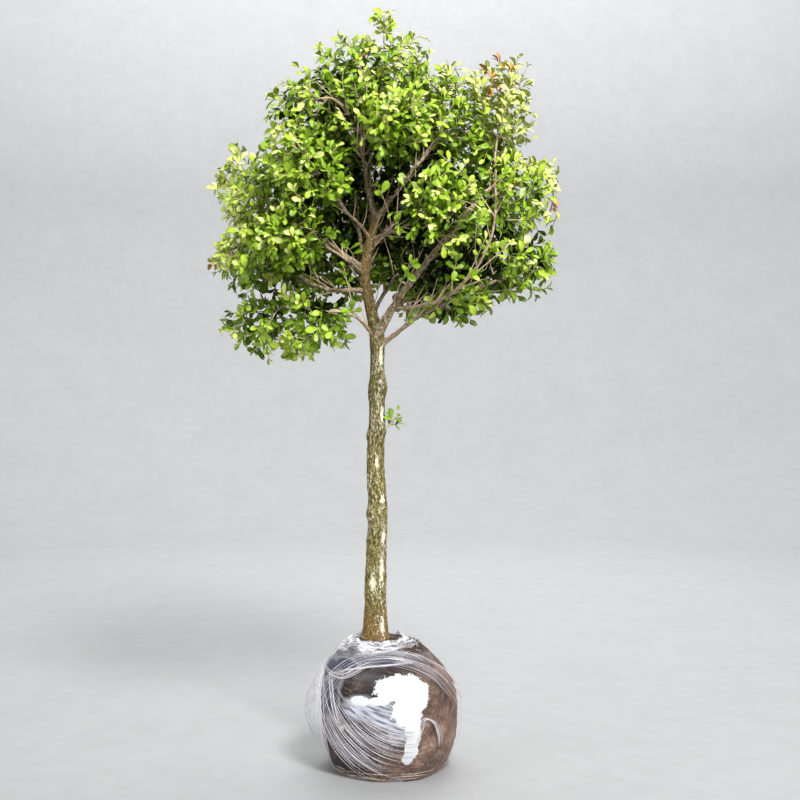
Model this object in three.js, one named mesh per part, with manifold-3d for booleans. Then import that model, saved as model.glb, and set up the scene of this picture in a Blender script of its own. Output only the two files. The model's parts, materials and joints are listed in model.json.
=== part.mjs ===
// A young boxwood trained as a small standard: one bare stem rising from a root ball that is wrapped in
// clear film, and a loose round crown of small oval leaves, open in front where the boughs show.
// Millimetres, +Z up. The origin is the middle of the root ball's flat underside, -Y is the plant's open
// front and +X is to the right as the front is looked at.

import * as THREE from "three";
import { mergeVertices } from "three/addons/utils/BufferGeometryUtils.js";
import Module from "manifold-3d";

const wasm = await Module();
wasm.setup();

// Driving dimensions, in millimetres and degrees.

const GAP = 0.3; // clearance between neighbouring pieces
const FINEST = 0.02; // edges finer than this are closed up
const UP = new THREE.Vector3(0, 0, 1);

// The soil ball: widest at `waist`, rounded off over `below` and `above` that height, cut flat underneath.
const BALL = {
  height: 190,
  reach: 101,
  waist: 86,
  below: 122,
  above: 105,
  squareness: 2.5,
  lumps: 0.035,
  sides: 24,
  rows: 9,
  seat: 26,
};

// The clear film: a skin just off the soil, with slack pockets at its sides and a lip round the stem.
const FILM = {
  rows: [1, 7], // the soil's rows that it runs past, from its foot up
  clear: 0.6,
  thick: 1.4,
  lip: { radius: 46, rise: 7 },
  pockets: [
    { azimuth: 184, height: 88, width: 34, tall: 52, depth: 22 },
    { azimuth: 2, height: 92, width: 40, tall: 60, depth: 9 },
  ],
};

// The stem from its flat foot to its top fork. Each bow pushes its middle line sideways near one height.
const TRUNK = {
  foot: new THREE.Vector3(-14, 0, BALL.height + GAP),
  top: new THREE.Vector3(-8, -8, 826),
  footRadius: 17,
  topRadius: 6.2,
  taper: 1.2,
  flare: { size: 4.5, height: 16 },
  bows: [
    { height: 375, span: 45, x: 2.5, y: -3 },
    { height: 455, span: 42, x: -2, y: 2 },
    { height: 600, span: 70, x: 0, y: -6 },
    { height: 738, span: 68, x: -21, y: 4 },
  ],
  knots: [
    { height: 376, azimuth: 180, span: 9, size: 3.6 },
    { height: 494, azimuth: 175, span: 8, size: 3.2 },
    { height: 500, azimuth: 10, span: 7, size: 2 },
    { height: 561, azimuth: 165, span: 13, size: 3.6 },
    { height: 566, azimuth: 0, span: 13, size: 3.4 },
    { height: 640, azimuth: -30, span: 20, size: 3 },
  ],
  sides: 12,
  rings: 32,
};

// The crown's middle, which leaves face away from.
const CROWN = new THREE.Vector3(-5, 30, 800);

// Masses of foliage: the middle and half sizes of the space that each keeps to, and the way its stem runs.
const MASSES = {
  crown_top: { middle: [-16, 0, 1023], size: [90, 80, 62], lead: [-0.5, 0.1, 0.8] },
  top_left: { middle: [-110, -10, 964], size: [68, 85, 66], lead: [-0.6, 0.3, 0.6] },
  top_right: { middle: [80, 0, 980], size: [72, 85, 76], lead: [0.1, 0.1, 1] },
  right_upper: { middle: [170, 10, 979], size: [52, 72, 88], lead: [0.35, 0.1, 1] },
  left_mid: { middle: [-180, 0, 856], size: [80, 100, 66], lead: [-1, 0, 0.35] },
  right_mid: { middle: [190, 0, 852], size: [74, 100, 66], lead: [0.7, 0.1, 0.7] },
  left_low: { middle: [-188, 5, 759], size: [82, 95, 50], lead: [-1, -0.1, -0.12] },
  right_low: { middle: [182, 5, 750], size: [85, 95, 50], lead: [1, 0.1, 0.3] },
  low_left: { middle: [-138, -10, 660], size: [95, 82, 50], lead: [-1, -0.1, -0.3] },
  low_right: { middle: [98, 0, 701], size: [79, 82, 40], lead: [1, 0.1, 0.15], leaf: 40 },
  back_top: { middle: [-17, 122, 1001], size: [104, 80, 80], lead: [0, 0.5, 0.8] },
  back_left: { middle: [-105, 140, 878], size: [99, 90, 86], lead: [-0.7, 0.6, 0.3] },
  back_right: { middle: [89, 140, 882], size: [99, 90, 86], lead: [0.7, 0.6, 0.3] },
  back_low_left: { middle: [-99, 120, 768], size: [95, 85, 57], lead: [-0.6, 0.8, 0] },
  back_low_right: { middle: [84, 127, 768], size: [97, 87, 57], lead: [0.6, 0.8, 0] },
  back_middle: { middle: [-8, 158, 826], size: [46, 72, 62], lead: [0, 0.8, 0.5] },
  front_left: { middle: [-112, -93, 871], size: [65, 57, 69], lead: [-0.3, -0.2, 1] },
  front_left_low: { middle: [-131, -85, 778], size: [60, 53, 46], lead: [-0.8, -0.5, -0.2], leaf: 38 },
  front_right: { middle: [86, -109, 816], size: [65, 58, 59], lead: [0.6, -0.5, 0.5] },
  front_top: { middle: [10, -92, 938], size: [66, 56, 52], lead: [0.7, -0.3, 0.7] },
  leader_tuft: {
    middle: [-1, 0, 1111], size: [19, 19, 26], lead: [0, 0, 1],
    leaf: 18, shoots: 2, leaves: 8,
  },
  stem_sprout: {
    middle: [15, -4, 511], size: [18, 15, 24], lead: [0.3, 0, 1],
    leaf: 19, shoots: 1, leaves: 5,
  },
};

// Boughs, thickest first. Each leaves its parent at a share of the parent's length, sets off at one heading
// (azimuth, elevation) and comes in at another, at a point given from the middle of the mass it carries.
const BOUGHS = {
  right_main: {
    parent: "trunk", at: 0.705, leaves: [-45, 52],
    mass: "right_mid", enters: [-50, -55, -12], comesIn: [20, 50],
    radius: [7.5, 3.6],
  },
  leader_bough: {
    parent: "trunk", at: 0.99, leaves: [-127, 54],
    mass: "top_left", enters: [47, -50, 10], comesIn: [164, 45],
    radius: [4.6, 2.8],
  },
  right_leader: {
    parent: "trunk", at: 0.985, leaves: [-39, 38],
    mass: "top_right", enters: [-11, -42, -66], comesIn: [16, 48],
    radius: [4.8, 2.9],
  },
  back_leader: {
    parent: "trunk", at: 0.92, leaves: [80, 50],
    mass: "back_top", enters: [-5, -30, -68], comesIn: [80, 65],
    radius: [5.4, 3],
  },
  left_bough: {
    parent: "trunk", at: 0.865, leaves: [-153, 32],
    mass: "left_mid", enters: [43, -44, -44], comesIn: [-163, 30],
    radius: [4.4, 2.8],
  },
  left_arm: {
    parent: "trunk", at: 0.815, leaves: [-170, 0],
    mass: "left_low", enters: [60, -18, -26], comesIn: [180, 45],
    radius: [4.6, 2.8],
  },
  low_right_arm: {
    parent: "trunk", at: 0.675, leaves: [-25, 40],
    mass: "right_low", enters: [-34, -44, -36], comesIn: [0, 22],
    radius: [4.4, 2.6],
  },
  low_left_arm: {
    parent: "trunk", at: 0.7, leaves: [-145, 40],
    mass: "low_left", enters: [76, -28, 16], comesIn: [-172, 8],
    radius: [3.8, 2.6],
  },
  back_left_bough: {
    parent: "trunk", at: 0.89, leaves: [150, 62],
    mass: "back_left", enters: [50, -55, -32], comesIn: [120, 15],
    radius: [4, 2.8],
  },
  back_right_bough: {
    parent: "trunk", at: 0.905, leaves: [55, 42],
    mass: "back_right", enters: [-50, -56, -36], comesIn: [45, 35],
    radius: [4, 2.8],
  },
  back_low_left_bough: {
    parent: "trunk", at: 0.78, leaves: [125, 45],
    mass: "back_low_left", enters: [50, -54, -18], comesIn: [135, 25],
    radius: [3.8, 2.6],
  },
  back_low_right_bough: {
    parent: "trunk", at: 0.755, leaves: [60, 50],
    mass: "back_low_right", enters: [-52, -60, -18], comesIn: [50, 25],
    radius: [3.8, 2.6],
  },
  back_middle_bough: {
    parent: "trunk", at: 0.835, leaves: [88, 42],
    mass: "back_middle", enters: [0, -52, -26], comesIn: [90, 25],
    radius: [3.4, 2.4],
  },
  right_wand: {
    parent: "trunk", at: 0.93, leaves: [-38, 18],
    mass: "front_right", enters: [-44, 36, -14], comesIn: [-35, 22],
    radius: [3.2, 2.2],
  },
  left_wand: {
    parent: "trunk", at: 0.935, leaves: [-130, 50],
    mass: "front_left", enters: [42, 32, -30], comesIn: [-140, 55],
    radius: [3.2, 2.2],
  },
  left_twin: {
    parent: "trunk", at: 0.85, leaves: [-115, 22],
    mass: "front_left_low", enters: [44, 24, -8], comesIn: [-160, 25],
    radius: [3, 2.1],
  },
  long_shoot_low: {
    parent: "right_main", at: 0.2, leaves: [-35, -8],
    bend: [138, -112, 744], comesIn: [-6, 62],
    radius: [3.1, 2.4],
  },
  long_shoot_high: {
    parent: "long_shoot_low", at: 1, leaves: [-2, 72],
    mass: "right_upper", enters: [-6, -46, -66], comesIn: [65, 74],
    radius: [2.4, 1.9],
  },
  low_right_spur: {
    parent: "right_main", at: 0.12, leaves: [15, 35],
    mass: "low_right", enters: [-68, -20, -10], comesIn: [15, 5],
    radius: [3, 2.3],
  },
  leader: {
    parent: "leader_bough", at: 0.7, leaves: [40, 62],
    mass: "crown_top", enters: [-14, -26, -52], comesIn: [60, 70],
    radius: [3, 2.3],
  },
  front_fork: {
    parent: "leader_bough", at: 0.42, leaves: [-30, 45],
    mass: "front_top", enters: [-46, 14, -26], comesIn: [-20, 40],
    radius: [2.8, 2.1],
  },
  tuft_shoot: {
    parent: "leader", at: 0.4, leaves: [-5, 48],
    mass: "leader_tuft", enters: [0, 0, -20], comesIn: [90, 89],
    radius: [2, 1.3],
  },
};

// A leaf's outline and thickness as shares of its length, and how it sits: the angle that it opens from
// its twig, and how much its face turns to the front or back, and upwards, beside straight out.
const LEAF = {
  length: 47,
  width: 0.6,
  widest: 0.55,
  tip: 0.26,
  thick: 0.04,
  keel: 0.35,
  open: 1.15,
  frontal: 2.2,
  upward: 0.35,
};
const TWIG = { stem: 2.2, sunk: 0.6, shoot: 1.7, tip: 1.3, sides: 3 };
const SPREAD = [0.8191725134, 0.6710436067, 0.5497004779]; // steps of the even spread of shoot tips
const GROWTH = {
  shoots: 7, // side shoots in a mass
  leaves: 25, // leaves in a mass
  within: 0.84, // share of the space that shoots may fill
  reach: 0.88, // share of the space that the stem runs through
  straight: 5, // what the stem runs on straight from its bough
  tries: 400, // shoot tips to try
  tipClear: 8, // between a shoot's tip and a limb
  forks: [0.17, 0.34, 0.5, 0.66, 0.82], // where side shoots may start, as shares of a twig's length
  tipSunk: 3, // from a shoot's tip back to the foot of the leaf at its end
  firstPair: 10, // from a shoot's tip back to its first pair of leaves
  pairEvery: 17, // between pairs of leaves on a shoot
  sizes: [1, 0.86, 0.72, 0.6], // sizes that a leaf tries in turn
  free: 9, // length of a leaf from its foot that may be near a twig
  apart: 0.42, // least distance between leaves, in leaf lengths
  turn: 0.9, // what a sharp turn costs a shoot that looks for a place to start
  path: 0.25, // what distance from the foot of the stem costs it
  wall: 1, // between two masses
  twigClear: 1.2, // between a twig and a limb
  leafClear: 3.4, // between a tested point of a leaf and a limb
  leafTwig: 2, // between a tested point of a leaf and another twig
  below: 18, // from the middle of a mass on the trunk down to its root
};

// Colours of the bark, the leaves, the soil and the film.
const finish = (name, color, roughness, more = {}) =>
  new THREE.MeshStandardMaterial({ name, color, roughness, metalness: 0, ...more });
const FINISHES = {
  bark: finish("bark", 0x8a7a58, 0.85),
  youngBark: finish("young_bark", 0xa08d62, 0.75),
  leaf: finish("leaf", 0x6fa02c, 0.45),
  leafBright: finish("leaf_bright", 0xa4c246, 0.45),
  soil: finish("soil", 0x5b3a26, 0.95),
  film: finish("film", 0xdfe3ea, 0.15, { transparent: true, opacity: 0.35 }),
};

// Small helpers.

const vector = (list) => new THREE.Vector3(...list);
const fraction = (x) => x - Math.floor(x);
const bell = (distance, span) => Math.exp(-((distance / span) ** 2));

/** The unit vector at an azimuth (0 is +X, 90 is +Y) and an elevation, both in degrees. */
function heading([azimuth, elevation]) {
  const a = THREE.MathUtils.degToRad(azimuth);
  const e = THREE.MathUtils.degToRad(elevation);
  return new THREE.Vector3(Math.cos(a) * Math.cos(e), Math.sin(a) * Math.cos(e), Math.sin(e));
}

/** A geometry whose triangles share their vertices, so that it can be joined and cut. */
function weld(geometry) {
  geometry.deleteAttribute("normal");
  geometry.deleteAttribute("uv");
  return mergeVertices(geometry, 1e-4);
}

function solidFrom(geometry) {
  const vertProperties = new Float32Array(geometry.getAttribute("position").array);
  const triVerts = new Uint32Array(geometry.index.array);
  return new wasm.Manifold(new wasm.Mesh({ numProp: 3, vertProperties, triVerts }));
}

function meshFrom(name, solid, material) {
  const { numProp, vertProperties, triVerts, numVert } = solid.getMesh();
  const position = new Float32Array(numVert * 3);
  for (let i = 0; i < numVert; i++) {
    position.set(vertProperties.subarray(i * numProp, i * numProp + 3), i * 3);
  }
  const geometry = new THREE.BufferGeometry();
  geometry.setAttribute("position", new THREE.BufferAttribute(position, 3));
  geometry.setIndex(new THREE.BufferAttribute(triVerts, 1));
  geometry.computeVertexNormals();
  const mesh = new THREE.Mesh(geometry, material);
  mesh.name = name;
  return mesh;
}

/** The biggest body of a solid, without its tiniest edges: loose scraps and sealed hollows are left out. */
const biggest = (solid) =>
  solid.decompose().reduce((a, b) => (a.volume() > b.volume() ? a : b)).simplify(FINEST);

/** A cylinder set along a curve, at the radius that radiusAt(share, angle) gives, and `grown` larger. */
function tubeAlong(curve, { sides, rings, radiusAt, grown = 0, level = false }) {
  const tube = weld(new THREE.CylinderGeometry(1, 1, 1, sides, rings));
  const frames = curve.computeFrenetFrames(rings);
  const corner = tube.getAttribute("position");
  for (let i = 0; i < corner.count; i++) {
    const share = corner.getY(i) + 0.5;
    const ring = Math.round(share * rings);
    const across = level ? new THREE.Vector3(1, 0, 0) : frames.normals[ring];
    const beside = level ? new THREE.Vector3(0, 1, 0) : frames.binormals[ring];
    const angle = Math.atan2(corner.getX(i), corner.getZ(i));
    const radius = (radiusAt(share, angle) + grown) * Math.hypot(corner.getX(i), corner.getZ(i));
    const at = curve.getPoint(share);
    if (ring === 0 || ring === rings) at.addScaledVector(frames.tangents[ring], ring ? grown : -grown);
    at.addScaledVector(across, Math.cos(angle) * radius).addScaledVector(beside, Math.sin(angle) * radius);
    corner.setXYZ(i, at.x, at.y, at.z);
  }
  return solidFrom(tube);
}

// The root ball and its film.

/** Radius of the soil at a height: a rounded square curve above and below the waist. */
function ballRadius(height) {
  const depth = height < BALL.waist ? BALL.below : BALL.above;
  const share = Math.min(1, Math.abs(height - BALL.waist) / depth);
  return BALL.reach * (1 - share ** BALL.squareness) ** (1 / BALL.squareness);
}

/** Height of one of the soil's rows of corners, closer together towards the top and the bottom. */
const ballRow = (row) => BALL.height * (0.5 - 0.5 * Math.cos((Math.PI * row) / BALL.rows));

/** How far lumps push the soil out, as a factor on its radius. */
function ballLumps(angle, height) {
  const slow = Math.sin(2 * angle + 0.7 + height / 90) + 0.6 * Math.sin(3 * angle - 1.1 - height / 60);
  const quick = 0.5 * Math.sin(5 * angle + height / 25) + 0.4 * Math.cos(7 * angle - height / 35);
  return 1 + (BALL.lumps * (slow + quick)) / 2;
}

/** Spins a closed profile of [radius, height] round +Z, each corner then moved to pushed(angle, r, z). */
function turned(profile, sides, pushed) {
  const lathe = weld(new THREE.LatheGeometry(profile.map(([r, z]) => new THREE.Vector2(r, z)), sides));
  lathe.rotateX(Math.PI / 2);
  const corner = lathe.getAttribute("position");
  for (let i = 0; i < corner.count; i++) {
    const [x, y, z] = [corner.getX(i), corner.getY(i), corner.getZ(i)];
    const radius = Math.hypot(x, y);
    const scale = radius < 1e-6 ? 1 : pushed(Math.atan2(y, x), radius, z) / radius;
    corner.setXYZ(i, x * scale, y * scale, z);
  }
  return solidFrom(lathe);
}

function rootBall() {
  const profile = [[0, 0]];
  for (let row = 0; row <= BALL.rows; row++) {
    profile.push([Math.max(ballRadius(ballRow(row)), BALL.seat), ballRow(row)]);
  }
  profile.push([0, BALL.height]);
  return turned(profile, BALL.sides, (angle, radius, z) => {
    const flat = z < 1e-3 || z > BALL.height - 1e-3;
    return flat && radius <= BALL.seat ? radius : radius * ballLumps(angle, z);
  });
}

/** How far the film's slack pockets stand out at an azimuth and a height. */
function filmSlack(angle, z) {
  return FILM.pockets.reduce((sum, { azimuth, height, width, tall, depth }) => {
    const turn = angle - THREE.MathUtils.degToRad(azimuth);
    const round = THREE.MathUtils.radToDeg(Math.abs(Math.atan2(Math.sin(turn), Math.cos(turn))));
    return sum + depth * bell(round, width) * bell(z - height, tall);
  }, 0);
}

/** A body as wide as the film's wall at a distance `off` the soil, drawn out past both ends by `past`. */
function filmBody(off, past) {
  const rows = [];
  for (let row = FILM.rows[0]; row <= FILM.rows[1]; row++) {
    rows.push([ballRadius(ballRow(row)) + off, ballRow(row)]);
  }
  rows.push([FILM.lip.radius + off, BALL.height + FILM.lip.rise]);
  const [foot, lip] = [rows[0], rows[rows.length - 1]];
  const straight = past > 0 ? [[[foot[0], foot[1] - past]], [[lip[0], lip[1] + past]]] : [[], []];
  const profile = [[0, foot[1] - past], ...straight[0], ...rows, ...straight[1], [0, lip[1] + past]];
  const pushed = (angle, radius, z) => radius * ballLumps(angle, z) + filmSlack(angle, z);
  return turned(profile, BALL.sides, pushed);
}

/** The clear film: a skin just off the soil, open round the stem and under the ball. */
const filmWrap = () => filmBody(FILM.clear + FILM.thick, 0).subtract(filmBody(FILM.clear, 3));

// The trunk and the boughs.

class TrunkLine extends THREE.Curve {
  getPoint(share, target = new THREE.Vector3()) {
    target.lerpVectors(TRUNK.foot, TRUNK.top, share);
    for (const { height, span, x, y } of TRUNK.bows) {
      const pull = bell(target.z - height, span) * Math.min(1, share * 8);
      target.x += x * pull;
      target.y += y * pull;
    }
    return target;
  }
}

/** The trunk's radius at a share of its height, with its flare and knots. */
function trunkRadius(share, angle) {
  const height = THREE.MathUtils.lerp(TRUNK.foot.z, TRUNK.top.z, share);
  const taper = THREE.MathUtils.lerp(TRUNK.footRadius, TRUNK.topRadius, share ** TRUNK.taper);
  const flare = TRUNK.flare.size * Math.exp((TRUNK.foot.z - height) / TRUNK.flare.height);
  const knots = TRUNK.knots.reduce((sum, knot) => {
    const facing = Math.max(0, Math.cos(angle - THREE.MathUtils.degToRad(knot.azimuth)));
    return sum + knot.size * facing ** 2 * bell(height - knot.height, knot.span);
  }, 0);
  return taper + flare + knots;
}

/** A bough's curve, from its parent's middle line to the mass or the bend that it reaches. */
function boughLine(bough, parentLine) {
  const start = parentLine.getPointAt(bough.at);
  const setOff = bough.at === 1 ? parentLine.getTangentAt(1) : heading(bough.leaves);
  if (bough.at === 1) start.addScaledVector(setOff, GAP);
  const end = bough.bend ? vector(bough.bend) : vector(MASSES[bough.mass].middle).add(vector(bough.enters));
  const handle = start.distanceTo(end) * 0.36;
  const leaving = start.clone().addScaledVector(setOff, handle);
  const arriving = end.clone().addScaledVector(heading(bough.comesIn), -handle);
  return new THREE.CubicBezierCurve3(start, leaving, arriving, end);
}

/** Samples of a limb's middle line, for keeping leaves clear of it. */
function samples(line, radiusAt, every = 4) {
  const count = Math.ceil(line.getLength() / every);
  return Array.from({ length: count + 1 }, (_, i) => ({
    at: line.getPointAt(i / count),
    radius: radiusAt(i / count),
  }));
}

const trunkLine = new TrunkLine();
const limbs = {
  trunk: {
    line: trunkLine,
    solid: tubeAlong(trunkLine, { ...TRUNK, radiusAt: trunkRadius, level: true }),
    grown: tubeAlong(trunkLine, { ...TRUNK, radiusAt: trunkRadius, grown: GAP, level: true }),
    samples: samples(trunkLine, (s) => trunkRadius(s, 0)),
  },
};
for (const [name, bough] of Object.entries(BOUGHS)) {
  const line = boughLine(bough, limbs[bough.parent].line);
  const length = line.getLength();
  const [first, last] = bough.radius;
  const collar = bough.at === 1 ? 0 : first * 0.35;
  const taper = (s) => THREE.MathUtils.lerp(first, last, s);
  const radiusAt = (s) => taper(s) + collar * Math.exp((-s * length) / (3 * first));
  const shape = { sides: first > 4 ? 6 : 5, rings: Math.max(3, Math.round(length / 36)), radiusAt };
  const older = bough.at === 1 ? [] : Object.values(limbs);
  limbs[name] = {
    line,
    solid: biggest(older.reduce((rest, limb) => rest.subtract(limb.grown), tubeAlong(line, shape))),
    grown: tubeAlong(line, { ...shape, grown: GAP }),
    samples: samples(line, radiusAt),
    tip: last,
  };
}

// The spaces that the masses keep to.

/** How far a mass reaches from its middle along a direction. */
const reachAlong = ({ size: [a, b, c] }, { x, y, z }) => 1 / Math.hypot(x / a, y / b, z / c);

/** The flat walls that part a mass from every other one, set by how far the two reach towards each other. */
function wallsOf(name) {
  const mass = MASSES[name];
  const middle = vector(mass.middle);
  return Object.entries(MASSES).filter(([other]) => other !== name).map(([, other]) => {
    const normal = vector(other.middle).sub(middle);
    const apart = normal.length();
    normal.normalize();
    const own = reachAlong(mass, normal);
    const share = own / (own + reachAlong(other, normal));
    return { normal, offset: middle.dot(normal) + apart * share - GROWTH.wall / 2 };
  });
}

const walls = Object.fromEntries(Object.keys(MASSES).map((name) => [name, wallsOf(name)]));

/** True where a point lies in a mass's space. */
function holds(name, point) {
  const { middle, size } = MASSES[name];
  const [x, y, z] = [0, 1, 2].map((k) => (point.getComponent(k) - middle[k]) / size[k]);
  return Math.hypot(x, y, z) < 1 && walls[name].every(({ normal, offset }) => normal.dot(point) < offset);
}

const limbSamples = Object.values(limbs).flatMap((limb) => limb.samples);

/** True where a point is farther than a gap from the surface of each sampled limb or twig. */
const clearOf = (spots, point, gap) =>
  spots.every(({ at, radius }) => at.distanceToSquared(point) > (radius + gap) ** 2);

// Twigs and leaves.

/** Point k of an even spread of points in a mass's space: three additive sequences, turned into a ball. */
function spreadPoint(name, k) {
  const seed = Object.keys(MASSES).indexOf(name) * 0.37;
  const [u, v, w] = SPREAD.map((step) => fraction(seed + k * step));
  const round = Math.sqrt(1 - (2 * u - 1) ** 2);
  const out = (0.4 + 0.6 * Math.sqrt(w)) * GROWTH.within;
  const { middle, size } = MASSES[name];
  return new THREE.Vector3(
    middle[0] + size[0] * out * round * Math.cos(2 * Math.PI * v),
    middle[1] + size[1] * out * round * Math.sin(2 * Math.PI * v),
    middle[2] + size[2] * out * (2 * u - 1),
  );
}

/** A twig's middle line: straight pieces between points. */
class TwigLine extends THREE.Curve {
  constructor(points) {
    super();
    this.points = points;
  }

  getPoint(share, target = new THREE.Vector3()) {
    const pieces = this.points.length - 1;
    const i = Math.min(pieces - 1, Math.floor(share * pieces));
    return target.lerpVectors(this.points[i], this.points[i + 1], share * pieces - i);
  }
}

/** The stem of a mass and its side shoots. Each shoot grows to its tip from the fork that costs it least. */
function growTwigs(name, start, setOff, foot) {
  const mass = MASSES[name];
  const middle = vector(mass.middle);
  const lead = vector(mass.lead).normalize();
  const far = middle.clone().addScaledVector(lead, reachAlong(mass, lead) * GROWTH.reach);
  const straight = start.clone().addScaledVector(setOff, GROWTH.straight);
  const bend = start.clone().addScaledVector(setOff, start.distanceTo(far) * 0.3);
  const curve = new THREE.CubicBezierCurve3(straight, bend, middle.lerp(far, 0.25), far);
  const stem = new TwigLine([start, ...curve.getSpacedPoints(4)]);
  const twigs = [{ line: stem, length: stem.getLength(), from: 0, radius: [foot, foot, TWIG.tip] }];
  const wanted = [];
  for (let k = 1; wanted.length < (mass.shoots ?? GROWTH.shoots) && k < GROWTH.tries; k++) {
    const point = spreadPoint(name, k);
    if (holds(name, point) && clearOf(limbSamples, point, GROWTH.tipClear)) wanted.push(point);
  }
  wanted.sort((a, b) => a.distanceTo(start) - b.distanceTo(start));
  for (const point of wanted) {
    let best = { cost: Infinity };
    for (const twig of twigs) {
      for (const share of GROWTH.forks) {
        const fork = twig.line.getPointAt(share);
        const way = point.clone().sub(fork);
        const distance = way.length();
        const along = twig.line.getTangentAt(share);
        const from = twig.from + twig.length * share;
        const cost = distance * (1 + GROWTH.turn * (1 - way.dot(along) / distance)) + GROWTH.path * from;
        if (cost < best.cost) best = { cost, fork, along, distance, from };
      }
    }
    const handle = best.fork.clone().addScaledVector(best.along, best.distance * 0.15).lerp(point, 0.35);
    const line = new TwigLine(new THREE.QuadraticBezierCurve3(best.fork, handle, point).getSpacedPoints(2));
    const length = line.getLength();
    const gap = TWIG.shoot + GROWTH.twigClear;
    const tested = line.getSpacedPoints(Math.ceil(length / 4));
    const free = tested.every((p) => holds(name, p) && clearOf(limbSamples, p, gap));
    if (free) twigs.push({ line, length, from: best.from, radius: [TWIG.sunk, TWIG.shoot, TWIG.tip] });
  }
  return twigs;
}

/** A leaf of eight faces: a flat top of five corners, blunt at the tip, over a keel. */
function leafGeometry({ base, along, face, length }) {
  const across = new THREE.Vector3().crossVectors(face, along);
  const half = (length * LEAF.width) / 2;
  const corner = (out, side) =>
    base.clone().addScaledVector(along, out * length).addScaledVector(across, side * half);
  const corners = [
    corner(0, 0),
    corner(LEAF.widest, 1),
    corner(1, LEAF.tip),
    corner(1, -LEAF.tip),
    corner(LEAF.widest, -1),
    corner(LEAF.keel, 0).addScaledVector(face, -LEAF.thick * length),
  ];
  const top = [[0, 4, 1], [1, 4, 3], [1, 3, 2]];
  const under = [0, 1, 2, 3, 4].map((i) => [5, i, (i + 1) % 5]);
  const geometry = new THREE.BufferGeometry().setFromPoints(corners);
  geometry.setIndex([...top, ...under].flat());
  return { geometry, corners };
}

/** Places for leaves on a twig: opposite pairs, each turned a quarter from the last, and one at the tip. */
function leafPlaces(twig, order) {
  const places = [];
  const count = Math.floor((twig.length * 0.8) / GROWTH.pairEvery);
  for (let pair = 0; pair <= count; pair++) {
    const back = pair ? GROWTH.firstPair + (pair - 1) * GROWTH.pairEvery : GROWTH.tipSunk;
    const share = Math.max(0.12, 1 - back / twig.length);
    const at = twig.line.getPointAt(share);
    const along = twig.line.getTangentAt(share);
    const side = new THREE.Vector3().crossVectors(along, UP).normalize();
    side.applyAxisAngle(along, (pair % 2) * (Math.PI / 2) + 0.6 * Math.sin(order * 2.4 + pair));
    for (const open of pair ? [LEAF.open, -LEAF.open] : [0]) {
      places.push({ at, along, side, open, rank: pair });
    }
  }
  return places;
}

/** Grows the leaves of a mass, the outermost first, until it has its number. */
function growLeaves(name, twigs) {
  const mass = MASSES[name];
  const full = mass.leaf ?? LEAF.length;
  const places = twigs.flatMap(leafPlaces).sort((a, b) => a.rank - b.rank);
  const twigSamples = twigs.flatMap(({ line }) => samples(line, () => TWIG.shoot, 5));
  const leaves = [];
  const middles = [];
  for (const { at, along, side, open } of places) {
    if (leaves.length >= (mass.leaves ?? GROWTH.leaves)) break;
    const way = along.clone().multiplyScalar(Math.cos(open)).addScaledVector(side, Math.sin(open));
    const light = at.clone().sub(CROWN);
    light.y *= LEAF.frontal;
    light.normalize().addScaledVector(UP, LEAF.upward);
    const face = light.addScaledVector(way, -light.dot(way)).normalize();
    for (const shrink of GROWTH.sizes) {
      const length = full * shrink;
      const middle = at.clone().addScaledVector(way, length / 2);
      if (middles.some((other) => other.distanceTo(middle) < GROWTH.apart * length)) break;
      const base = at.clone().addScaledVector(way, 0.1);
      const { geometry, corners } = leafGeometry({ base, along: way, face, length });
      if (!corners.every((p) => holds(name, p))) continue;
      const tested = corners.flatMap((p) => [0, 0.35, 0.7, 1].map((s) => middle.clone().lerp(p, s)));
      const beyond = tested.filter((p) => p.distanceTo(base) > GROWTH.free);
      if (!beyond.every((p) => clearOf(limbSamples, p, GROWTH.leafClear))) continue;
      if (!beyond.every((p) => clearOf(twigSamples, p, GROWTH.leafTwig))) continue;
      const leaf = solidFrom(geometry);
      if (leaves.some((other) => other.intersect(leaf).volume() > 1e-6)) continue;
      leaves.push(leaf);
      middles.push(middle);
      break;
    }
  }
  return leaves;
}

/** Where a mass is rooted: at its bough's tip, or at the trunk where it has no bough. */
function rootOf(name) {
  const carrier = Object.keys(BOUGHS).find((bough) => BOUGHS[bough].mass === name);
  if (carrier) {
    const { line, tip } = limbs[carrier];
    const setOff = line.getTangentAt(1);
    return { start: line.getPointAt(1).addScaledVector(setOff, GAP), setOff, foot: tip };
  }
  const height = MASSES[name].middle[2] - GROWTH.below;
  const start = trunkLine.getPoint((height - TRUNK.foot.z) / (TRUNK.top.z - TRUNK.foot.z));
  return { start, setOff: heading([0, 30]), foot: TWIG.stem };
}

/** One mass of foliage: its stem, shoots and leaves in one piece. */
function foliage(name) {
  const { start, setOff, foot } = rootOf(name);
  const twigs = growTwigs(name, start, setOff, foot);
  const tubes = twigs.map(({ line: middle, radius: [root, first, last] }) =>
    tubeAlong(middle, {
      sides: TWIG.sides,
      rings: middle.points.length - 1,
      radiusAt: (s) => (s < 1e-6 ? root : THREE.MathUtils.lerp(first, last, s)),
    }),
  );
  const joined = wasm.Manifold.union([...tubes, ...growLeaves(name, twigs)]);
  return biggest(joined.subtract(limbs.trunk.grown));
}

// The plant.

const plant = new THREE.Group();
plant.name = "boxwood_sapling";
plant.add(meshFrom("root_ball", rootBall(), FINISHES.soil));
plant.add(meshFrom("film_wrap", filmWrap(), FINISHES.film));
for (const [name, { solid }] of Object.entries(limbs)) {
  plant.add(meshFrom(name, solid, name === "trunk" ? FINISHES.bark : FINISHES.youngBark));
}
for (const name of Object.keys(MASSES)) {
  const bright = ["right_upper", "leader_tuft", "crown_top"].includes(name);
  plant.add(meshFrom(name, foliage(name), bright ? FINISHES.leafBright : FINISHES.leaf));
}

export default plant;
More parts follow.
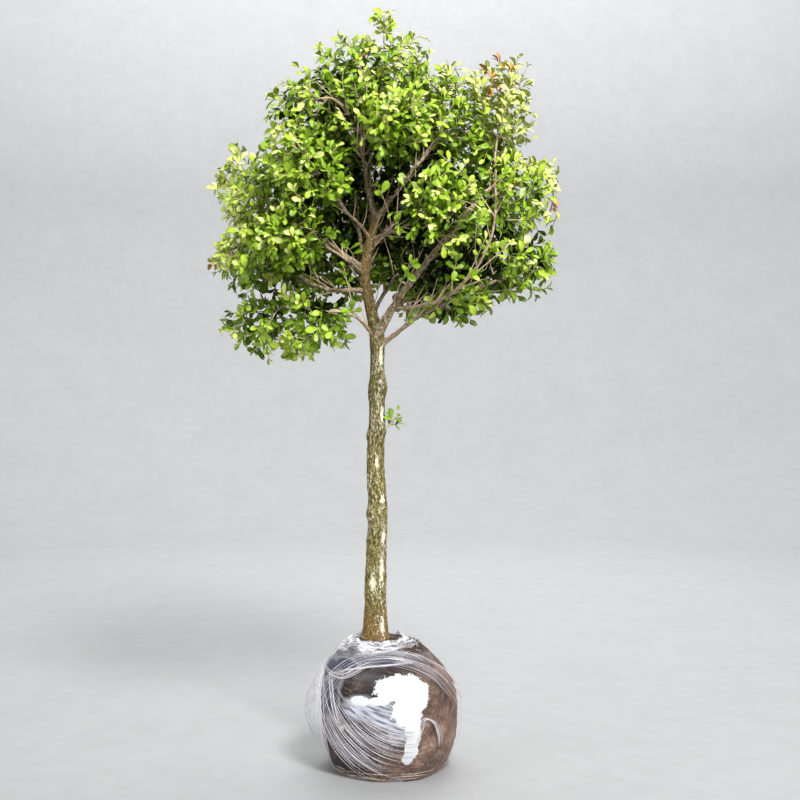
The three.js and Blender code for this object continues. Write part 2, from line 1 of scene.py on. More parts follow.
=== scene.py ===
"""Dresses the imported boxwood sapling: soil ball, clear film, barked stem and boughs, and a leafy crown.

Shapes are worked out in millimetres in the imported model's frame and go into the meshes in metres. +Z is up,
-Y is the plant's open front, and the origin is the middle of the root ball's flat underside. The whole number
that ends a call of dealt or smooth_noise, before any count of octaves, is a seed.
"""

import sys
import json
import logging
import math
from dataclasses import dataclass, field
from enum import Enum
from typing import NamedTuple

import bpy
import numpy as np
from bpy.types import Material, Node, NodeSocket, NodeTree, Object
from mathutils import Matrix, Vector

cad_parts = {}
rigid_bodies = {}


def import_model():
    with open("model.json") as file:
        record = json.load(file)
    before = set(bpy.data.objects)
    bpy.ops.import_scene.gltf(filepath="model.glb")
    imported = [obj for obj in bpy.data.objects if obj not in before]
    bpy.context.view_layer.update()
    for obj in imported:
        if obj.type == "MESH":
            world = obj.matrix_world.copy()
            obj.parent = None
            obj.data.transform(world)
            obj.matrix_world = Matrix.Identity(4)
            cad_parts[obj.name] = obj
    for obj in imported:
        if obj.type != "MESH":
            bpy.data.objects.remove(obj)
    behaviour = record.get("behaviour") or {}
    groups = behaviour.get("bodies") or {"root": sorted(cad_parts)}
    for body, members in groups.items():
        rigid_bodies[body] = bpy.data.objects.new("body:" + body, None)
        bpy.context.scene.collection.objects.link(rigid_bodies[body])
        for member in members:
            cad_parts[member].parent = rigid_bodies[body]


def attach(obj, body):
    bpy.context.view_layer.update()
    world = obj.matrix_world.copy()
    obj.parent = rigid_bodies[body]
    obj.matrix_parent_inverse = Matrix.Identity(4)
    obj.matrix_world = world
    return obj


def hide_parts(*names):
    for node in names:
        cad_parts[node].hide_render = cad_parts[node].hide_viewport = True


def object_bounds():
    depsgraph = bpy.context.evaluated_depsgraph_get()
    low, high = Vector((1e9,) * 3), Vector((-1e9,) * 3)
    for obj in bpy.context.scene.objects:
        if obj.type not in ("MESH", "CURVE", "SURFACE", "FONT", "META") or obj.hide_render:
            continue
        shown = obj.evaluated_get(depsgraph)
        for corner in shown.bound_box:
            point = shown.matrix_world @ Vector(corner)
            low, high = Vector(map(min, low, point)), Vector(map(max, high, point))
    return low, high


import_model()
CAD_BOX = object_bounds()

Array = np.ndarray
Triple = tuple[float, float, float]
Colour = Triple
Oval = tuple[float, float, float, float]
Pair = tuple[float, float]

MM = 0.001
UP = np.array([0.0, 0.0, 1.0])
LOG = logging.getLogger("sapling")


# Small helpers.


def unit(vectors: Array) -> Array:
    """Vectors scaled to length one."""
    return vectors / np.maximum(np.linalg.norm(vectors, axis=-1, keepdims=True), 1e-9)


def bell(distance: Array, span: float) -> Array:
    """The bell curve exp(-(distance / span)^2)."""
    return np.exp(-((distance / span) ** 2))


def step(low: float, high: float, value: float | Array) -> Array:
    """A smooth step 3t^2 - 2t^3 from 0 at low to 1 at high."""
    t = np.clip((value - low) / (high - low), 0.0, 1.0)
    return t * t * (3.0 - 2.0 * t)


def heading(azimuth: float, elevation: float) -> Array:
    """The unit vector at an azimuth (0 is +X, 90 is +Y) and an elevation, both in degrees."""
    a, e = math.radians(azimuth), math.radians(elevation)
    return np.array([math.cos(a) * math.cos(e), math.sin(a) * math.cos(e), math.sin(e)])


def full_turn(count: int) -> Array:
    """Even azimuths all the way round, in radians."""
    return np.linspace(0.0, 2 * math.pi, count, endpoint=False)


def around(radius: Array, angle: Array, height: Array) -> Array:
    """Points (r cos a, r sin a, z), of arrays that are broadcast together."""
    return np.stack(np.broadcast_arrays(radius * np.cos(angle), radius * np.sin(angle), height), axis=-1)


def hashed(cells: Array, seed: int) -> Array:
    """One random number from 0 to 1 for each lattice cell.

    The cell's three whole numbers, times large odd numbers, are summed and scrambled by shifts.
    """
    n = cells[..., 0] * 374761393 + cells[..., 1] * 668265263 + cells[..., 2] * 1274126177 + seed * 974711
    n = (n ^ (n >> 13)) & 0xFFFFFFFF
    n = (n * 1103515245 + 12345) & 0xFFFFFFFF
    n = (n ^ (n >> 16)) * 69069 & 0xFFFFFFFF
    return ((n ^ (n >> 15)) & 0xFFFFFF) / 0xFFFFFF


def dealt(numbers: Array, seed: int) -> Array:
    """One random number from 0 to 1 for each whole number."""
    return hashed(np.stack([numbers, 0 * numbers, 0 * numbers], axis=-1), seed)


def smooth_noise(at: Array, seed: int, octaves: int = 1) -> Array:
    """Smooth noise: random numbers on a unit lattice, blended by 3t^2 - 2t^3 along each axis.

    Args:
        at: Points, (..., 3), in lattice units.
        seed: Picks another noise.
        octaves: Layers, each at twice the frequency and half the strength of the last.

    Returns:
        Values from about -1 to 1.
    """
    total = np.zeros(at.shape[:-1])
    for octave in range(octaves):
        scaled = at * 2.0**octave
        base = np.floor(scaled).astype(np.int64)
        t = scaled - base
        t = t * t * (3.0 - 2.0 * t)
        for corner in np.ndindex(2, 2, 2):
            weight = np.prod(np.where(np.array(corner, bool), t, 1.0 - t), axis=-1)
            total += weight * (2.0 * hashed(base + np.array(corner), seed + octave) - 1.0) * 0.5**octave
    return total


def plates(at: Array, seed: int) -> tuple[Array, Array]:
    """A pattern of plates: each point belongs to the nearest of one random point in each lattice cell.

    Args:
        at: Points, (n, 3), in lattice units.
        seed: Picks another pattern.

    Returns:
        How much nearer the nearest random point is than the next one, which is 0 along the cracks, and a
        random number from 0 to 1 that is the same all over a plate.
    """
    base = np.floor(at).astype(np.int64)
    nearest = np.full(len(at), 9.0)
    second = np.full(len(at), 9.0)
    own = np.zeros(len(at))
    for corner in np.ndindex(3, 3, 3):
        cell = base + np.array(corner) - 1
        spot = cell + np.stack([hashed(cell, seed + k) for k in range(3)], axis=-1)
        distance = np.linalg.norm(at - spot, axis=-1)
        closer = distance < nearest
        second = np.where(closer, nearest, np.minimum(second, distance))
        own = np.where(closer, hashed(cell, seed + 7), own)
        nearest = np.minimum(nearest, distance)
    return second - nearest, own


# Surfaces and paths.


@dataclass
class Surface:
    """Points and faces of a mesh in the making, in millimetres, with values that its points carry."""

    points: Array
    quads: Array
    triangles: Array = field(default_factory=lambda: np.zeros((0, 3), np.int64))
    values: dict[str, Array] = field(default_factory=dict)

    @staticmethod
    def joined(parts: list["Surface"]) -> "Surface":
        """One surface of all the parts, each one's points after the last's."""
        first = np.cumsum([0] + [len(part.points) for part in parts[:-1]])
        return Surface(
            np.concatenate([part.points for part in parts]),
            np.concatenate([part.quads + n for part, n in zip(parts, first)]),
            np.concatenate([part.triangles + n for part, n in zip(parts, first)]),
            {key: np.concatenate([part.values[key] for part in parts]) for key in parts[0].values},
        )

    def repeated(self, points: Array) -> "Surface":
        """Copies of this surface's faces and values, one on each row of other points, (copies, points, 3)."""
        first = (np.arange(len(points)) * len(self.points))[:, None, None]
        return Surface(
            points.reshape(-1, 3),
            (self.quads + first).reshape(-1, 4),
            (self.triangles + first).reshape(-1, 3),
            {key: np.tile(value, len(points)) for key, value in self.values.items()},
        )

    def piece(self, name: str, material: Material, crease: float | None = None) -> Object:
        """Makes a Blender object of the surface, at the origin.

        Args:
            name: The object's name.
            material: Its only material.
            crease: Edges that turn by more than this many degrees are kept sharp.

        Returns:
            The object.
        """
        loops = np.concatenate([self.triangles.ravel(), self.quads.ravel()])
        threes = np.arange(len(self.triangles)) * 3
        starts = np.concatenate([threes, len(self.triangles) * 3 + np.arange(len(self.quads)) * 4])
        mesh = bpy.data.meshes.new(name)
        mesh.vertices.add(len(self.points))
        mesh.vertices.foreach_set("co", (self.points * MM).astype(np.float32).ravel())
        mesh.loops.add(len(loops))
        mesh.loops.foreach_set("vertex_index", loops.astype(np.int32))
        mesh.polygons.add(len(starts))
        mesh.polygons.foreach_set("loop_start", starts.astype(np.int32))
        mesh.update(calc_edges=True)
        for key, value in self.values.items():
            flat = value.ndim == 1
            layer = mesh.attributes.new(key, "FLOAT" if flat else "FLOAT_VECTOR", "POINT")
            layer.data.foreach_set("value" if flat else "vector", value.astype(np.float32).ravel())
        mesh.shade_smooth()
        if crease is not None:
            mesh.set_sharp_from_angle(angle=math.radians(crease))
        mesh.materials.append(material)
        thing = bpy.data.objects.new(name, mesh)
        bpy.context.scene.collection.objects.link(thing)
        triangles = len(self.triangles) + 2 * len(self.quads)
        LOG.info("%s: %d points, %d triangles", name, len(self.points), triangles)
        return thing


def ring_quads(rings: int, sides: int) -> Array:
    """Faces between neighbouring rings, outwards where they run anticlockwise as seen from the last one."""
    ring, side = np.meshgrid(np.arange(rings - 1), np.arange(sides), indexing="ij")
    here, above = ring * sides, (ring + 1) * sides
    after = (side + 1) % sides
    return np.stack([here + side, here + after, above + after, above + side], axis=-1).reshape(-1, 4)


def closed_rings(rings: Array, values: dict[str, Array] | None = None) -> Surface:
    """A closed surface through rings of points, with a fan to the middle of the first and of the last ring.

    Args:
        rings: (n, sides, 3).
        values: Values of the points, (n, sides) or (n, sides, 3).

    Returns:
        The surface.
    """
    count, sides, _ = rings.shape
    side = np.arange(sides)
    after = (side + 1) % sides
    first, top = count * sides, (count - 1) * sides
    fans = [
        np.stack([np.full(sides, first), after, side], axis=-1),
        np.stack([np.full(sides, first + 1), top + side, top + after], axis=-1),
    ]
    carried = {}
    for key, v in {"points": rings, **(values or {})}.items():
        ends = [v[k].mean(0, keepdims=True) for k in (0, -1)]
        carried[key] = np.concatenate([v.reshape(-1, *v.shape[2:]), *ends])
    return Surface(carried.pop("points"), ring_quads(count, sides), np.concatenate(fans), carried)


def tubes(at: Array, radius: Array, sides: int) -> Surface:
    """Many thin tubes of the same number of rings, as one surface.

    Args:
        at: Middle lines, (tubes, rings, 3).
        radius: (tubes, rings).
        sides: Corners of a ring.

    Returns:
        Closed tubes. A ring lies across the line's tangent; its first corner points along the tangent's cross
        product with one direction that is chosen for each tube, square to the tube's middle.
    """
    count, rings, _ = at.shape
    tangent = unit(np.gradient(at, axis=1))
    main = unit(at[:, -1] - at[:, 0])
    axis = np.where(np.abs(main[:, 2:]) < 0.8, UP, np.array([1.0, 0.0, 0.0]))
    steady = unit(np.cross(main, axis))[:, None, :]
    across = unit(steady - np.sum(steady * tangent, axis=-1, keepdims=True) * tangent)
    beside = np.cross(tangent, across)
    turn = full_turn(sides)
    out = across[:, :, None] * np.cos(turn)[:, None] + beside[:, :, None] * np.sin(turn)[:, None]
    corners = at[:, :, None] + out * radius[:, :, None, None]
    points = np.concatenate([corners.reshape(count, -1, 3), at[:, :1], at[:, -1:]], axis=1)
    return closed_rings(np.zeros((rings, sides, 3))).repeated(points)


class Path:
    """A line through points, read by the share of its length."""

    def __init__(self, points: Array) -> None:
        """Keeps the points and the length up to each of them."""
        self.points = points
        self.marks = np.concatenate([[0.0], np.cumsum(np.linalg.norm(np.diff(points, axis=0), axis=1))])
        self.length = float(self.marks[-1])

    def at(self, share: float | Array) -> Array:
        """Points at shares of the length."""
        mark = np.asarray(share) * self.length
        return np.stack([np.interp(mark, self.marks, self.points[:, k]) for k in range(3)], axis=-1)

    def tangent(self, share: float | Array) -> Array:
        """Unit vectors along the line at shares of its length."""
        share = np.asarray(share)
        return unit(self.at(np.minimum(share + 0.004, 1.0)) - self.at(np.maximum(share - 0.004, 0.0)))


def bezier(corners: list[Array], count: int) -> Array:
    """Points at even parameters of the Bezier curve with these control points.

    Args:
        corners: Two or more control points.
        count: How many points to give.

    Returns:
        (count, 3), by repeated blending of neighbours.
    """
    t = np.linspace(0.0, 1.0, count)[:, None]
    layer = [np.broadcast_to(corner, (count, 3)) for corner in corners]
    while len(layer) > 1:
        layer = [a + (b - a) * t for a, b in zip(layer, layer[1:])]
    return layer[0]


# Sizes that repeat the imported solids' own, in millimetres and degrees.


@dataclass(frozen=True)
class Ball:
    """The soil ball: widest at the waist, rounded off over `below` and `above` it, flat underneath."""

    height: float = 190.0
    reach: float = 101.0
    waist: float = 86.0
    below: float = 122.0
    above: float = 105.0
    squareness: float = 2.5
    lumps: float = 0.035
    aside: float = 0.085
    cut: float = 0.07
    seat: float = 26.0

    def radius(self, height: Array) -> Array:
        """reach (1 - share^q)^(1/q), where share is the distance from the waist over its span."""
        span = np.where(height < self.waist, self.below, self.above)
        share = np.minimum(1.0, np.abs(height - self.waist) / span)
        return self.reach * (1.0 - share**self.squareness) ** (1.0 / self.squareness)

    def swell(self, angle: Array, height: Array) -> Array:
        """How far the soil is pushed out, as a factor.

        Lumps are sines of the angle that turn with the height. A cosine moves the ball to the stem's right,
        and its positive part takes some off the right shoulder.
        """
        slow = np.sin(2 * angle + 0.7 + height / 90) + 0.6 * np.sin(3 * angle - 1.1 - height / 60)
        quick = 0.5 * np.sin(5 * angle + height / 25) + 0.4 * np.cos(7 * angle - height / 35)
        moved = self.aside * np.cos(angle) * step(178.0, 105.0, height)
        moved -= self.cut * np.maximum(np.cos(angle), 0.0) * bell(height - 164.0, 24.0)
        return 1.0 + self.lumps * (slow + quick) / 2 + moved


@dataclass(frozen=True)
class Bow:
    """A sideways bend of the trunk's middle line near one height."""

    height: float
    span: float
    x: float
    y: float


@dataclass(frozen=True)
class Knot:
    """A swelling of the trunk towards one azimuth."""

    height: float
    azimuth: float
    span: float
    size: float


@dataclass(frozen=True)
class Mass:
    """A space that foliage keeps to: its middle, its half sizes and the way its stem runs.

    `fine` is the number of its fine twigs where it isn't the usual one. `square` is the power in its oval: 2
    is an ellipsoid, and more is fuller at the corners. `full` is how far its fine twigs reach and `most` how
    far any part of it does, as factors of its half sizes.
    """

    middle: Triple
    size: Triple
    lead: Triple
    fine: int = 0
    square: float = 2.0
    full: float = 1.0
    most: float = 1.3

    @property
    def small(self) -> bool:
        """Whether it is a single spray, not a part of the crown."""
        return 0 < self.fine < 20


@dataclass(frozen=True)
class Bough:
    """A limb: where it leaves its parent, and the mass or the bend that it reaches."""

    parent: str
    at: float
    leaves: Pair
    comes_in: Pair
    radius: Pair
    mass: str = ""
    enters: Triple = (0.0, 0.0, 0.0)
    bend: Triple | None = None

    @property
    def goes_on(self) -> bool:
        """Whether it carries its parent on past its end, and doesn't fork from it."""
        return self.at == 1


CROWN_MIDDLE = np.array([-5.0, 30.0, 800.0])
MASSES = {
    "crown_top": Mass((-16, 0, 1023), (90, 80, 62), (-0.5, 0.1, 0.8), 190, 4.0, 1.02, 1.06),
    "top_left": Mass((-110, -10, 964), (68, 85, 66), (-0.6, 0.3, 0.6), 0, 2.0, 1.0, 1.14),
    "top_right": Mass((80, 0, 980), (72, 85, 76), (0.1, 0.1, 1), 155),
    "right_upper": Mass((170, 10, 979), (52, 72, 88), (0.35, 0.1, 1), 150),
    "left_mid": Mass((-180, 0, 856), (80, 100, 66), (-1, 0, 0.35)),
    "right_mid": Mass((190, 0, 852), (74, 100, 66), (0.7, 0.1, 0.7)),
    "left_low": Mass((-188, 5, 759), (82, 95, 50), (-1, -0.1, -0.12)),
    "right_low": Mass((182, 5, 750), (85, 95, 50), (1, 0.1, 0.3)),
    "low_left": Mass((-138, -10, 660), (95, 82, 50), (-1, -0.1, -0.3), 150, 2.0, 1.12),
    "low_right": Mass((98, 0, 701), (79, 82, 40), (1, 0.1, 0.15)),
    "back_top": Mass((-17, 122, 1001), (104, 80, 80), (0, 0.5, 0.8), 0, 2.0, 1.0, 1.1),
    "back_left": Mass((-105, 140, 878), (99, 90, 86), (-0.7, 0.6, 0.3)),
    "back_right": Mass((89, 140, 882), (99, 90, 86), (0.7, 0.6, 0.3)),
    "back_low_left": Mass((-99, 120, 768), (95, 85, 57), (-0.6, 0.8, 0)),
    "back_low_right": Mass((84, 127, 768), (97, 87, 57), (0.6, 0.8, 0)),
    "back_middle": Mass((-8, 158, 826), (46, 72, 62), (0, 0.8, 0.5), 0, 2.0, 1.25, 1.6),
    "front_left": Mass((-112, -93, 871), (65, 57, 69), (-0.3, -0.2, 1)),
    "front_left_low": Mass((-131, -85, 778), (60, 53, 46), (-0.8, -0.5, -0.2)),
    "front_right": Mass((86, -109, 816), (65, 58, 59), (0.6, -0.5, 0.5)),
    "front_top": Mass((10, -92, 938), (66, 56, 52), (0.7, -0.3, 0.7)),
    "leader_tuft": Mass((-1, 0, 1111), (19, 19, 26), (0, 0, 1), 10),
    "stem_sprout": Mass((15, -4, 511), (18, 15, 24), (0.3, 0, 1), 4),
}
BOUGHS = {
    "right_main": Bough("trunk", 0.705, (-45, 52), (20, 50), (7.5, 3.6), "right_mid", (-50, -55, -12)),
    "leader_bough": Bough("trunk", 0.99, (-127, 54), (164, 45), (4.6, 2.8), "top_left", (47, -50, 10)),
    "right_leader": Bough("trunk", 0.985, (-39, 38), (16, 48), (4.8, 2.9), "top_right", (-11, -42, -66)),
    "back_leader": Bough("trunk", 0.92, (80, 50), (80, 65), (5.4, 3), "back_top", (-5, -30, -68)),
    "left_bough": Bough("trunk", 0.865, (-153, 32), (-163, 30), (4.4, 2.8), "left_mid", (43, -44, -44)),
    "left_arm": Bough("trunk", 0.815, (-170, 0), (180, 45), (4.6, 2.8), "left_low", (60, -18, -26)),
    "low_right_arm": Bough("trunk", 0.675, (-25, 40), (0, 22), (4.4, 2.6), "right_low", (-34, -44, -36)),
    "low_left_arm": Bough("trunk", 0.7, (-145, 40), (-172, 8), (3.8, 2.6), "low_left", (76, -28, 16)),
    "back_left_bough": Bough("trunk", 0.89, (150, 62), (120, 15), (4, 2.8), "back_left", (50, -55, -32)),
    "back_right_bough": Bough("trunk", 0.905, (55, 42), (45, 35), (4, 2.8), "back_right", (-50, -56, -36)),
    "back_low_left_bough": Bough(
        "trunk", 0.78, (125, 45), (135, 25), (3.8, 2.6), "back_low_left", (50, -54, -18)
    ),
    "back_low_right_bough": Bough(
        "trunk", 0.755, (60, 50), (50, 25), (3.8, 2.6), "back_low_right", (-52, -60, -18)
    ),
    "back_middle_bough": Bough("trunk", 0.835, (88, 42), (90, 25), (3.4, 2.4), "back_middle", (0, -52, -26)),
    "right_wand": Bough("trunk", 0.93, (-38, 18), (-35, 22), (3.2, 2.2), "front_right", (-44, 36, -14)),
    "left_wand": Bough("trunk", 0.935, (-130, 50), (-140, 55), (3.2, 2.2), "front_left", (42, 32, -30)),
    "left_twin": Bough("trunk", 0.85, (-115, 22), (-160, 25), (3, 2.1), "front_left_low", (44, 24, -8)),
    "long_shoot_low": Bough("right_main", 0.2, (-35, -8), (-6, 62), (3.1, 2.4), bend=(138, -112, 744)),
    "long_shoot_high": Bough(
        "long_shoot_low", 1, (-2, 72), (65, 74), (2.4, 1.9), "right_upper", (-6, -46, -66)
    ),
    "low_right_spur": Bough("right_main", 0.12, (15, 35), (15, 5), (3, 2.3), "low_right", (-68, -20, -10)),
    "leader": Bough("leader_bough", 0.7, (40, 62), (60, 70), (3, 2.3), "crown_top", (-14, -26, -52)),
    "front_fork": Bough("leader_bough", 0.42, (-30, 45), (-20, 40), (2.8, 2.1), "front_top", (-46, 14, -26)),
    "tuft_shoot": Bough("leader", 0.4, (-5, 48), (90, 89), (2, 1.3), "leader_tuft", (0, 0, -20)),
}


# Finishes.


def rgba(colour: Colour) -> tuple[float, float, float, float]:
    """A colour with full opacity."""
    return (*colour, 1.0)


class Sheet:
    """A node tree that is being filled: makes nodes, sets their inputs and links them."""

    def __init__(self, tree: NodeTree) -> None:
        """Keeps the tree."""
        self.tree = tree

    def node(self, kind: str, inputs: dict | None = None, **settings: object) -> Node:
        """Adds a node.

        Args:
            kind: Its type.
            inputs: Socket names or numbers, each with a plain value or with the socket to link it from.
            settings: The node's own settings.

        Returns:
            The node.
        """
        node = self.tree.nodes.new(kind)
        for key, value in settings.items():
            setattr(node, key, value)
        for key, value in (inputs or {}).items():
            if isinstance(value, NodeSocket):
                self.tree.links.new(value, node.inputs[key])
            else:
                node.inputs[key].default_value = value
        return node

    def maths(self, operation: str, *values: object) -> NodeSocket:
        """The result of a Math node."""
        return self.node("ShaderNodeMath", dict(enumerate(values)), operation=operation).outputs[0]

    def blend(self, mask: object, a: object, b: object, how: str = "MIX") -> NodeSocket:
        """Colour a turned towards b by a mask."""
        inputs = {0: mask, 6: a, 7: b}
        return self.node("ShaderNodeMix", inputs, data_type="RGBA", blend_type=how).outputs[2]

    def between(
        self, value: object, low: float, high: float, first: object = 0.0, last: object = 1.0
    ) -> NodeSocket:
        """A value taken from the range low to high to the range first to last, and kept in it."""
        return self.node("ShaderNodeMapRange", dict(enumerate((value, low, high, first, last)))).outputs[0]

    def noise(self, where: object, scale: object, detail: float, **inputs: object) -> NodeSocket:
        """The strength of a Noise Texture."""
        inputs = {"Vector": where, "Scale": scale, "Detail": detail, **inputs}
        return self.node("ShaderNodeTexNoise", inputs).outputs[0]

    def ramp(self, value: object, stops: list[tuple[float, Colour]]) -> NodeSocket:
        """A colour read from stops by a value from 0 to 1."""
        node = self.node("ShaderNodeValToRGB", {0: value})
        band = node.color_ramp
        while len(band.elements) < len(stops):
            band.elements.new(1.0)
        for element, (place, colour) in zip(band.elements, stops):
            element.position = place
            element.color = rgba(colour)
        return node.outputs[0]

    def attribute(self, name: str, output: str = "Fac") -> NodeSocket:
        """A value that the mesh's points carry."""
        return self.node("ShaderNodeAttribute", attribute_name=name).outputs[output]


def mottle_group() -> NodeTree:
    """Two sizes of mottling that turn a colour darker and lighter by an amount, with a height for bumps.

    Returns:
        The shader node group, which the first call makes.
    """
    name = "mottle"
    if name in bpy.data.node_groups:
        return bpy.data.node_groups[name]
    tree = bpy.data.node_groups.new(name, "ShaderNodeTree")
    for key, way, kind, value in (
        ("Vector", "INPUT", "Vector", None),
        ("Color", "INPUT", "Color", rgba((0.5, 0.5, 0.5))),
        ("Scale", "INPUT", "Float", 50.0),
        ("Amount", "INPUT", "Float", 0.2),
        ("Mottled Color", "OUTPUT", "Color", None),
        ("Height", "OUTPUT", "Float", None),
    ):
        socket = tree.interface.new_socket(key, in_out=way, socket_type=f"NodeSocket{kind}")
        if value is not None:
            socket.default_value = value
    sheet = Sheet(tree)
    given = sheet.node("NodeGroupInput").outputs
    coarse = sheet.noise(given["Vector"], given["Scale"], 3.0)
    fine = sheet.noise(given["Vector"], sheet.maths("MULTIPLY", given["Scale"], 4.0), 2.0)
    both = sheet.maths("MULTIPLY_ADD", fine, 0.5, sheet.maths("MULTIPLY", coarse, 0.5))
    less = sheet.maths("SUBTRACT", 1.0, given["Amount"])
    more = sheet.maths("ADD", 1.0, given["Amount"])
    factor = sheet.between(sheet.between(both, 0.36, 0.64), 0.0, 1.0, less, more)
    grey = sheet.node("ShaderNodeCombineColor", {0: factor, 1: factor, 2: factor}).outputs[0]
    mottled = sheet.blend(1.0, given["Color"], grey, "MULTIPLY")
    sheet.node("NodeGroupOutput", {"Mottled Color": mottled, "Height": both})
    return tree


@dataclass(frozen=True)
class Finish:
    """What every finish has: its name, roughness, mottling, bumps, specular level and clear coat."""

    name: str
    rough: float = 0.7
    mottle_scale: float = 120.0
    mottle_amount: float = 0.2
    bump: float = 0.0
    bump_depth: float = 0.0004
    specular: float = 0.5
    coat: float = 0.0
    coat_rough: float = 0.03

    def start(self) -> tuple[Material, Sheet, Node]:
        """A new material with its sheet and its Principled shader."""
        material = bpy.data.materials.new(self.name)
        material.use_nodes = True
        shader = material.node_tree.nodes["Principled BSDF"]
        shader.inputs["Roughness"].default_value = self.rough
        shader.inputs["Specular IOR Level"].default_value = self.specular
        shader.inputs["Coat Weight"].default_value = self.coat
        shader.inputs["Coat Roughness"].default_value = self.coat_rough
        return material, Sheet(material.node_tree), shader

    def bumped(self, sheet: Sheet, shader: Node, height: NodeSocket) -> None:
        """Bumps the surface by a height."""
        inputs = {"Strength": self.bump, "Distance": self.bump_depth, "Height": height}
        sheet.tree.links.new(sheet.node("ShaderNodeBump", inputs).outputs[0], shader.inputs["Normal"])

    def mottled(self, sheet: Sheet, shader: Node, colour: object, where: object) -> None:
        """Mottles a colour, links it to the shader, and bumps the surface by the same pattern."""
        inputs = {"Vector": where, "Color": colour, "Scale": self.mottle_scale, "Amount": self.mottle_amount}
        group = sheet.node("ShaderNodeGroup", inputs, node_tree=mottle_group())
        sheet.tree.links.new(group.outputs["Mottled Color"], shader.inputs["Base Color"])
        if self.bump:
            self.bumped(sheet, shader, group.outputs["Height"])


@dataclass(frozen=True)
class BarkFinish(Finish):
    """Bark in plates: each has its own brown, the cracks between them are dark, and some have flaked off. The
    crack colour also paints shade over a band of the upper trunk.
    """

    # Dark cracks; on the trunk this colour also paints the shade under the crown.
    crack: Colour = (0.032, 0.026, 0.01)
    browns: tuple[Colour, ...] = (
        (0.1, 0.084, 0.02), (0.215, 0.178, 0.052), (0.37, 0.312, 0.118), (0.55, 0.48, 0.235),
        (0.16, 0.147, 0.042),
    )
    flake: Colour = (0.93, 0.88, 0.67)
    foot: Colour = (0.36, 0.21, 0.08)

    def material(self) -> Material:
        """The material: it reads the plates, the cracks, the flakes and the foot that the mesh carries."""
        material, sheet, shader = self.start()
        stops = [(k / (len(self.browns) - 1), colour) for k, colour in enumerate(self.browns)]
        colour = sheet.ramp(sheet.attribute("plate"), stops)
        for mask in ("foot", "flake", "crack"):
            colour = sheet.blend(sheet.attribute(mask), colour, rgba(getattr(self, mask)))
        self.mottled(sheet, shader, colour, sheet.attribute("grain", "Vector"))
        return material


@dataclass(frozen=True)
class SoilFinish(Finish):
    """Moist red-brown earth with paler dry crumbs, and painted shade that darkens it in its hollows."""

    # Each ramp runs from the hollows, near black as painted shade, to the crumbs.
    moist: tuple[Colour, ...] = ((0.009, 0.005, 0.004), (0.038, 0.022, 0.017), (0.115, 0.076, 0.058))
    dry: tuple[Colour, ...] = ((0.09, 0.05, 0.034), (0.27, 0.165, 0.12), (0.42, 0.3, 0.215))

    def material(self) -> Material:
        """The material: its colour follows the clods' height and the drier parts that the mesh carries. The
        clods' hollows are near black, a painted shade.
        """
        material, sheet, shader = self.start()
        where = sheet.node("ShaderNodeTexCoord").outputs["Object"]
        clod = sheet.attribute("clod")
        moist, dry = (sheet.ramp(clod, list(zip((0.0, 0.5, 1.0), stops))) for stops in (self.moist, self.dry))
        self.mottled(sheet, shader, sheet.blend(sheet.attribute("dryness"), moist, dry), where)
        return material


@dataclass(frozen=True)
class FilmFinish(Finish):
    """Clear stretch film: see-through where it lies smooth, white where it is creased or in layers. On the
    front it carries a painted glare: a white patch and bluish streaks of painted reflection.
    """

    colour: Colour = (0.84, 0.87, 0.95)
    # The painted glare's white patch.
    white: Colour = (0.97, 0.98, 1.0)
    slate: Colour = (0.05, 0.057, 0.1)
    # The bluish streaks of the painted glare, a painted reflection.
    milk: Colour = (0.8, 0.84, 0.98)
    edge: float = 0.26
    streak: Triple = (0.03, 0.03, 0.0034)
    slope: float = 0.31
    # Opacities of the painted glare's streaks and of its white patch.
    glare_streak_opacity: float = 0.88
    glare: float = 0.93

    def material(self) -> Material:
        """The material: its opacity is the mesh's cloudiness, more at a slant, nearly full on the painted
        glare.
        """
        material, sheet, shader = self.start()
        slant = sheet.node("ShaderNodeLayerWeight", {"Blend": 0.25}).outputs["Facing"]
        slant = sheet.maths("MULTIPLY", sheet.maths("POWER", slant, 3.0), self.edge)
        where = sheet.node("ShaderNodeTexCoord").outputs["Object"]
        # The painted glare: a ragged white patch where the mesh's patch value is high, and bluish streaks of
        # painted reflection.
        ragged = sheet.noise(where, 150.0, 6.0, Roughness=0.72)
        rim = sheet.maths("MULTIPLY_ADD", ragged, 1.1, sheet.attribute("patch"))
        glare = sheet.between(rim, 0.55, 0.62)
        inputs = {"Vector": where, "Rotation": (0.0, self.slope, 0.0), "Scale": self.streak}
        stretched = sheet.node("ShaderNodeMapping", inputs, vector_type="TEXTURE").outputs[0]
        streaks = sheet.between(sheet.noise(stretched, 1.0, 3.0), 0.38, 0.56, 0.3, 1.0)
        milk = sheet.maths("MULTIPLY", sheet.attribute("milk"), streaks)
        colour = sheet.blend(sheet.attribute("slate"), rgba(self.colour), rgba(self.slate))
        colour = sheet.blend(glare, sheet.blend(milk, colour, rgba(self.milk)), rgba(self.white))
        sheet.tree.links.new(colour, shader.inputs["Base Color"])
        opacity = sheet.maths("ADD", sheet.attribute("cloud"), slant)
        for mask, most in ((milk, self.glare_streak_opacity), (glare, self.glare)):
            opacity = sheet.maths("MAXIMUM", opacity, sheet.maths("MULTIPLY", mask, most))
        sheet.tree.links.new(sheet.between(opacity, 0.0, 1.0), shader.inputs["Alpha"])
        self.bumped(sheet, shader, sheet.noise(where, self.mottle_scale, 3.0))
        return material


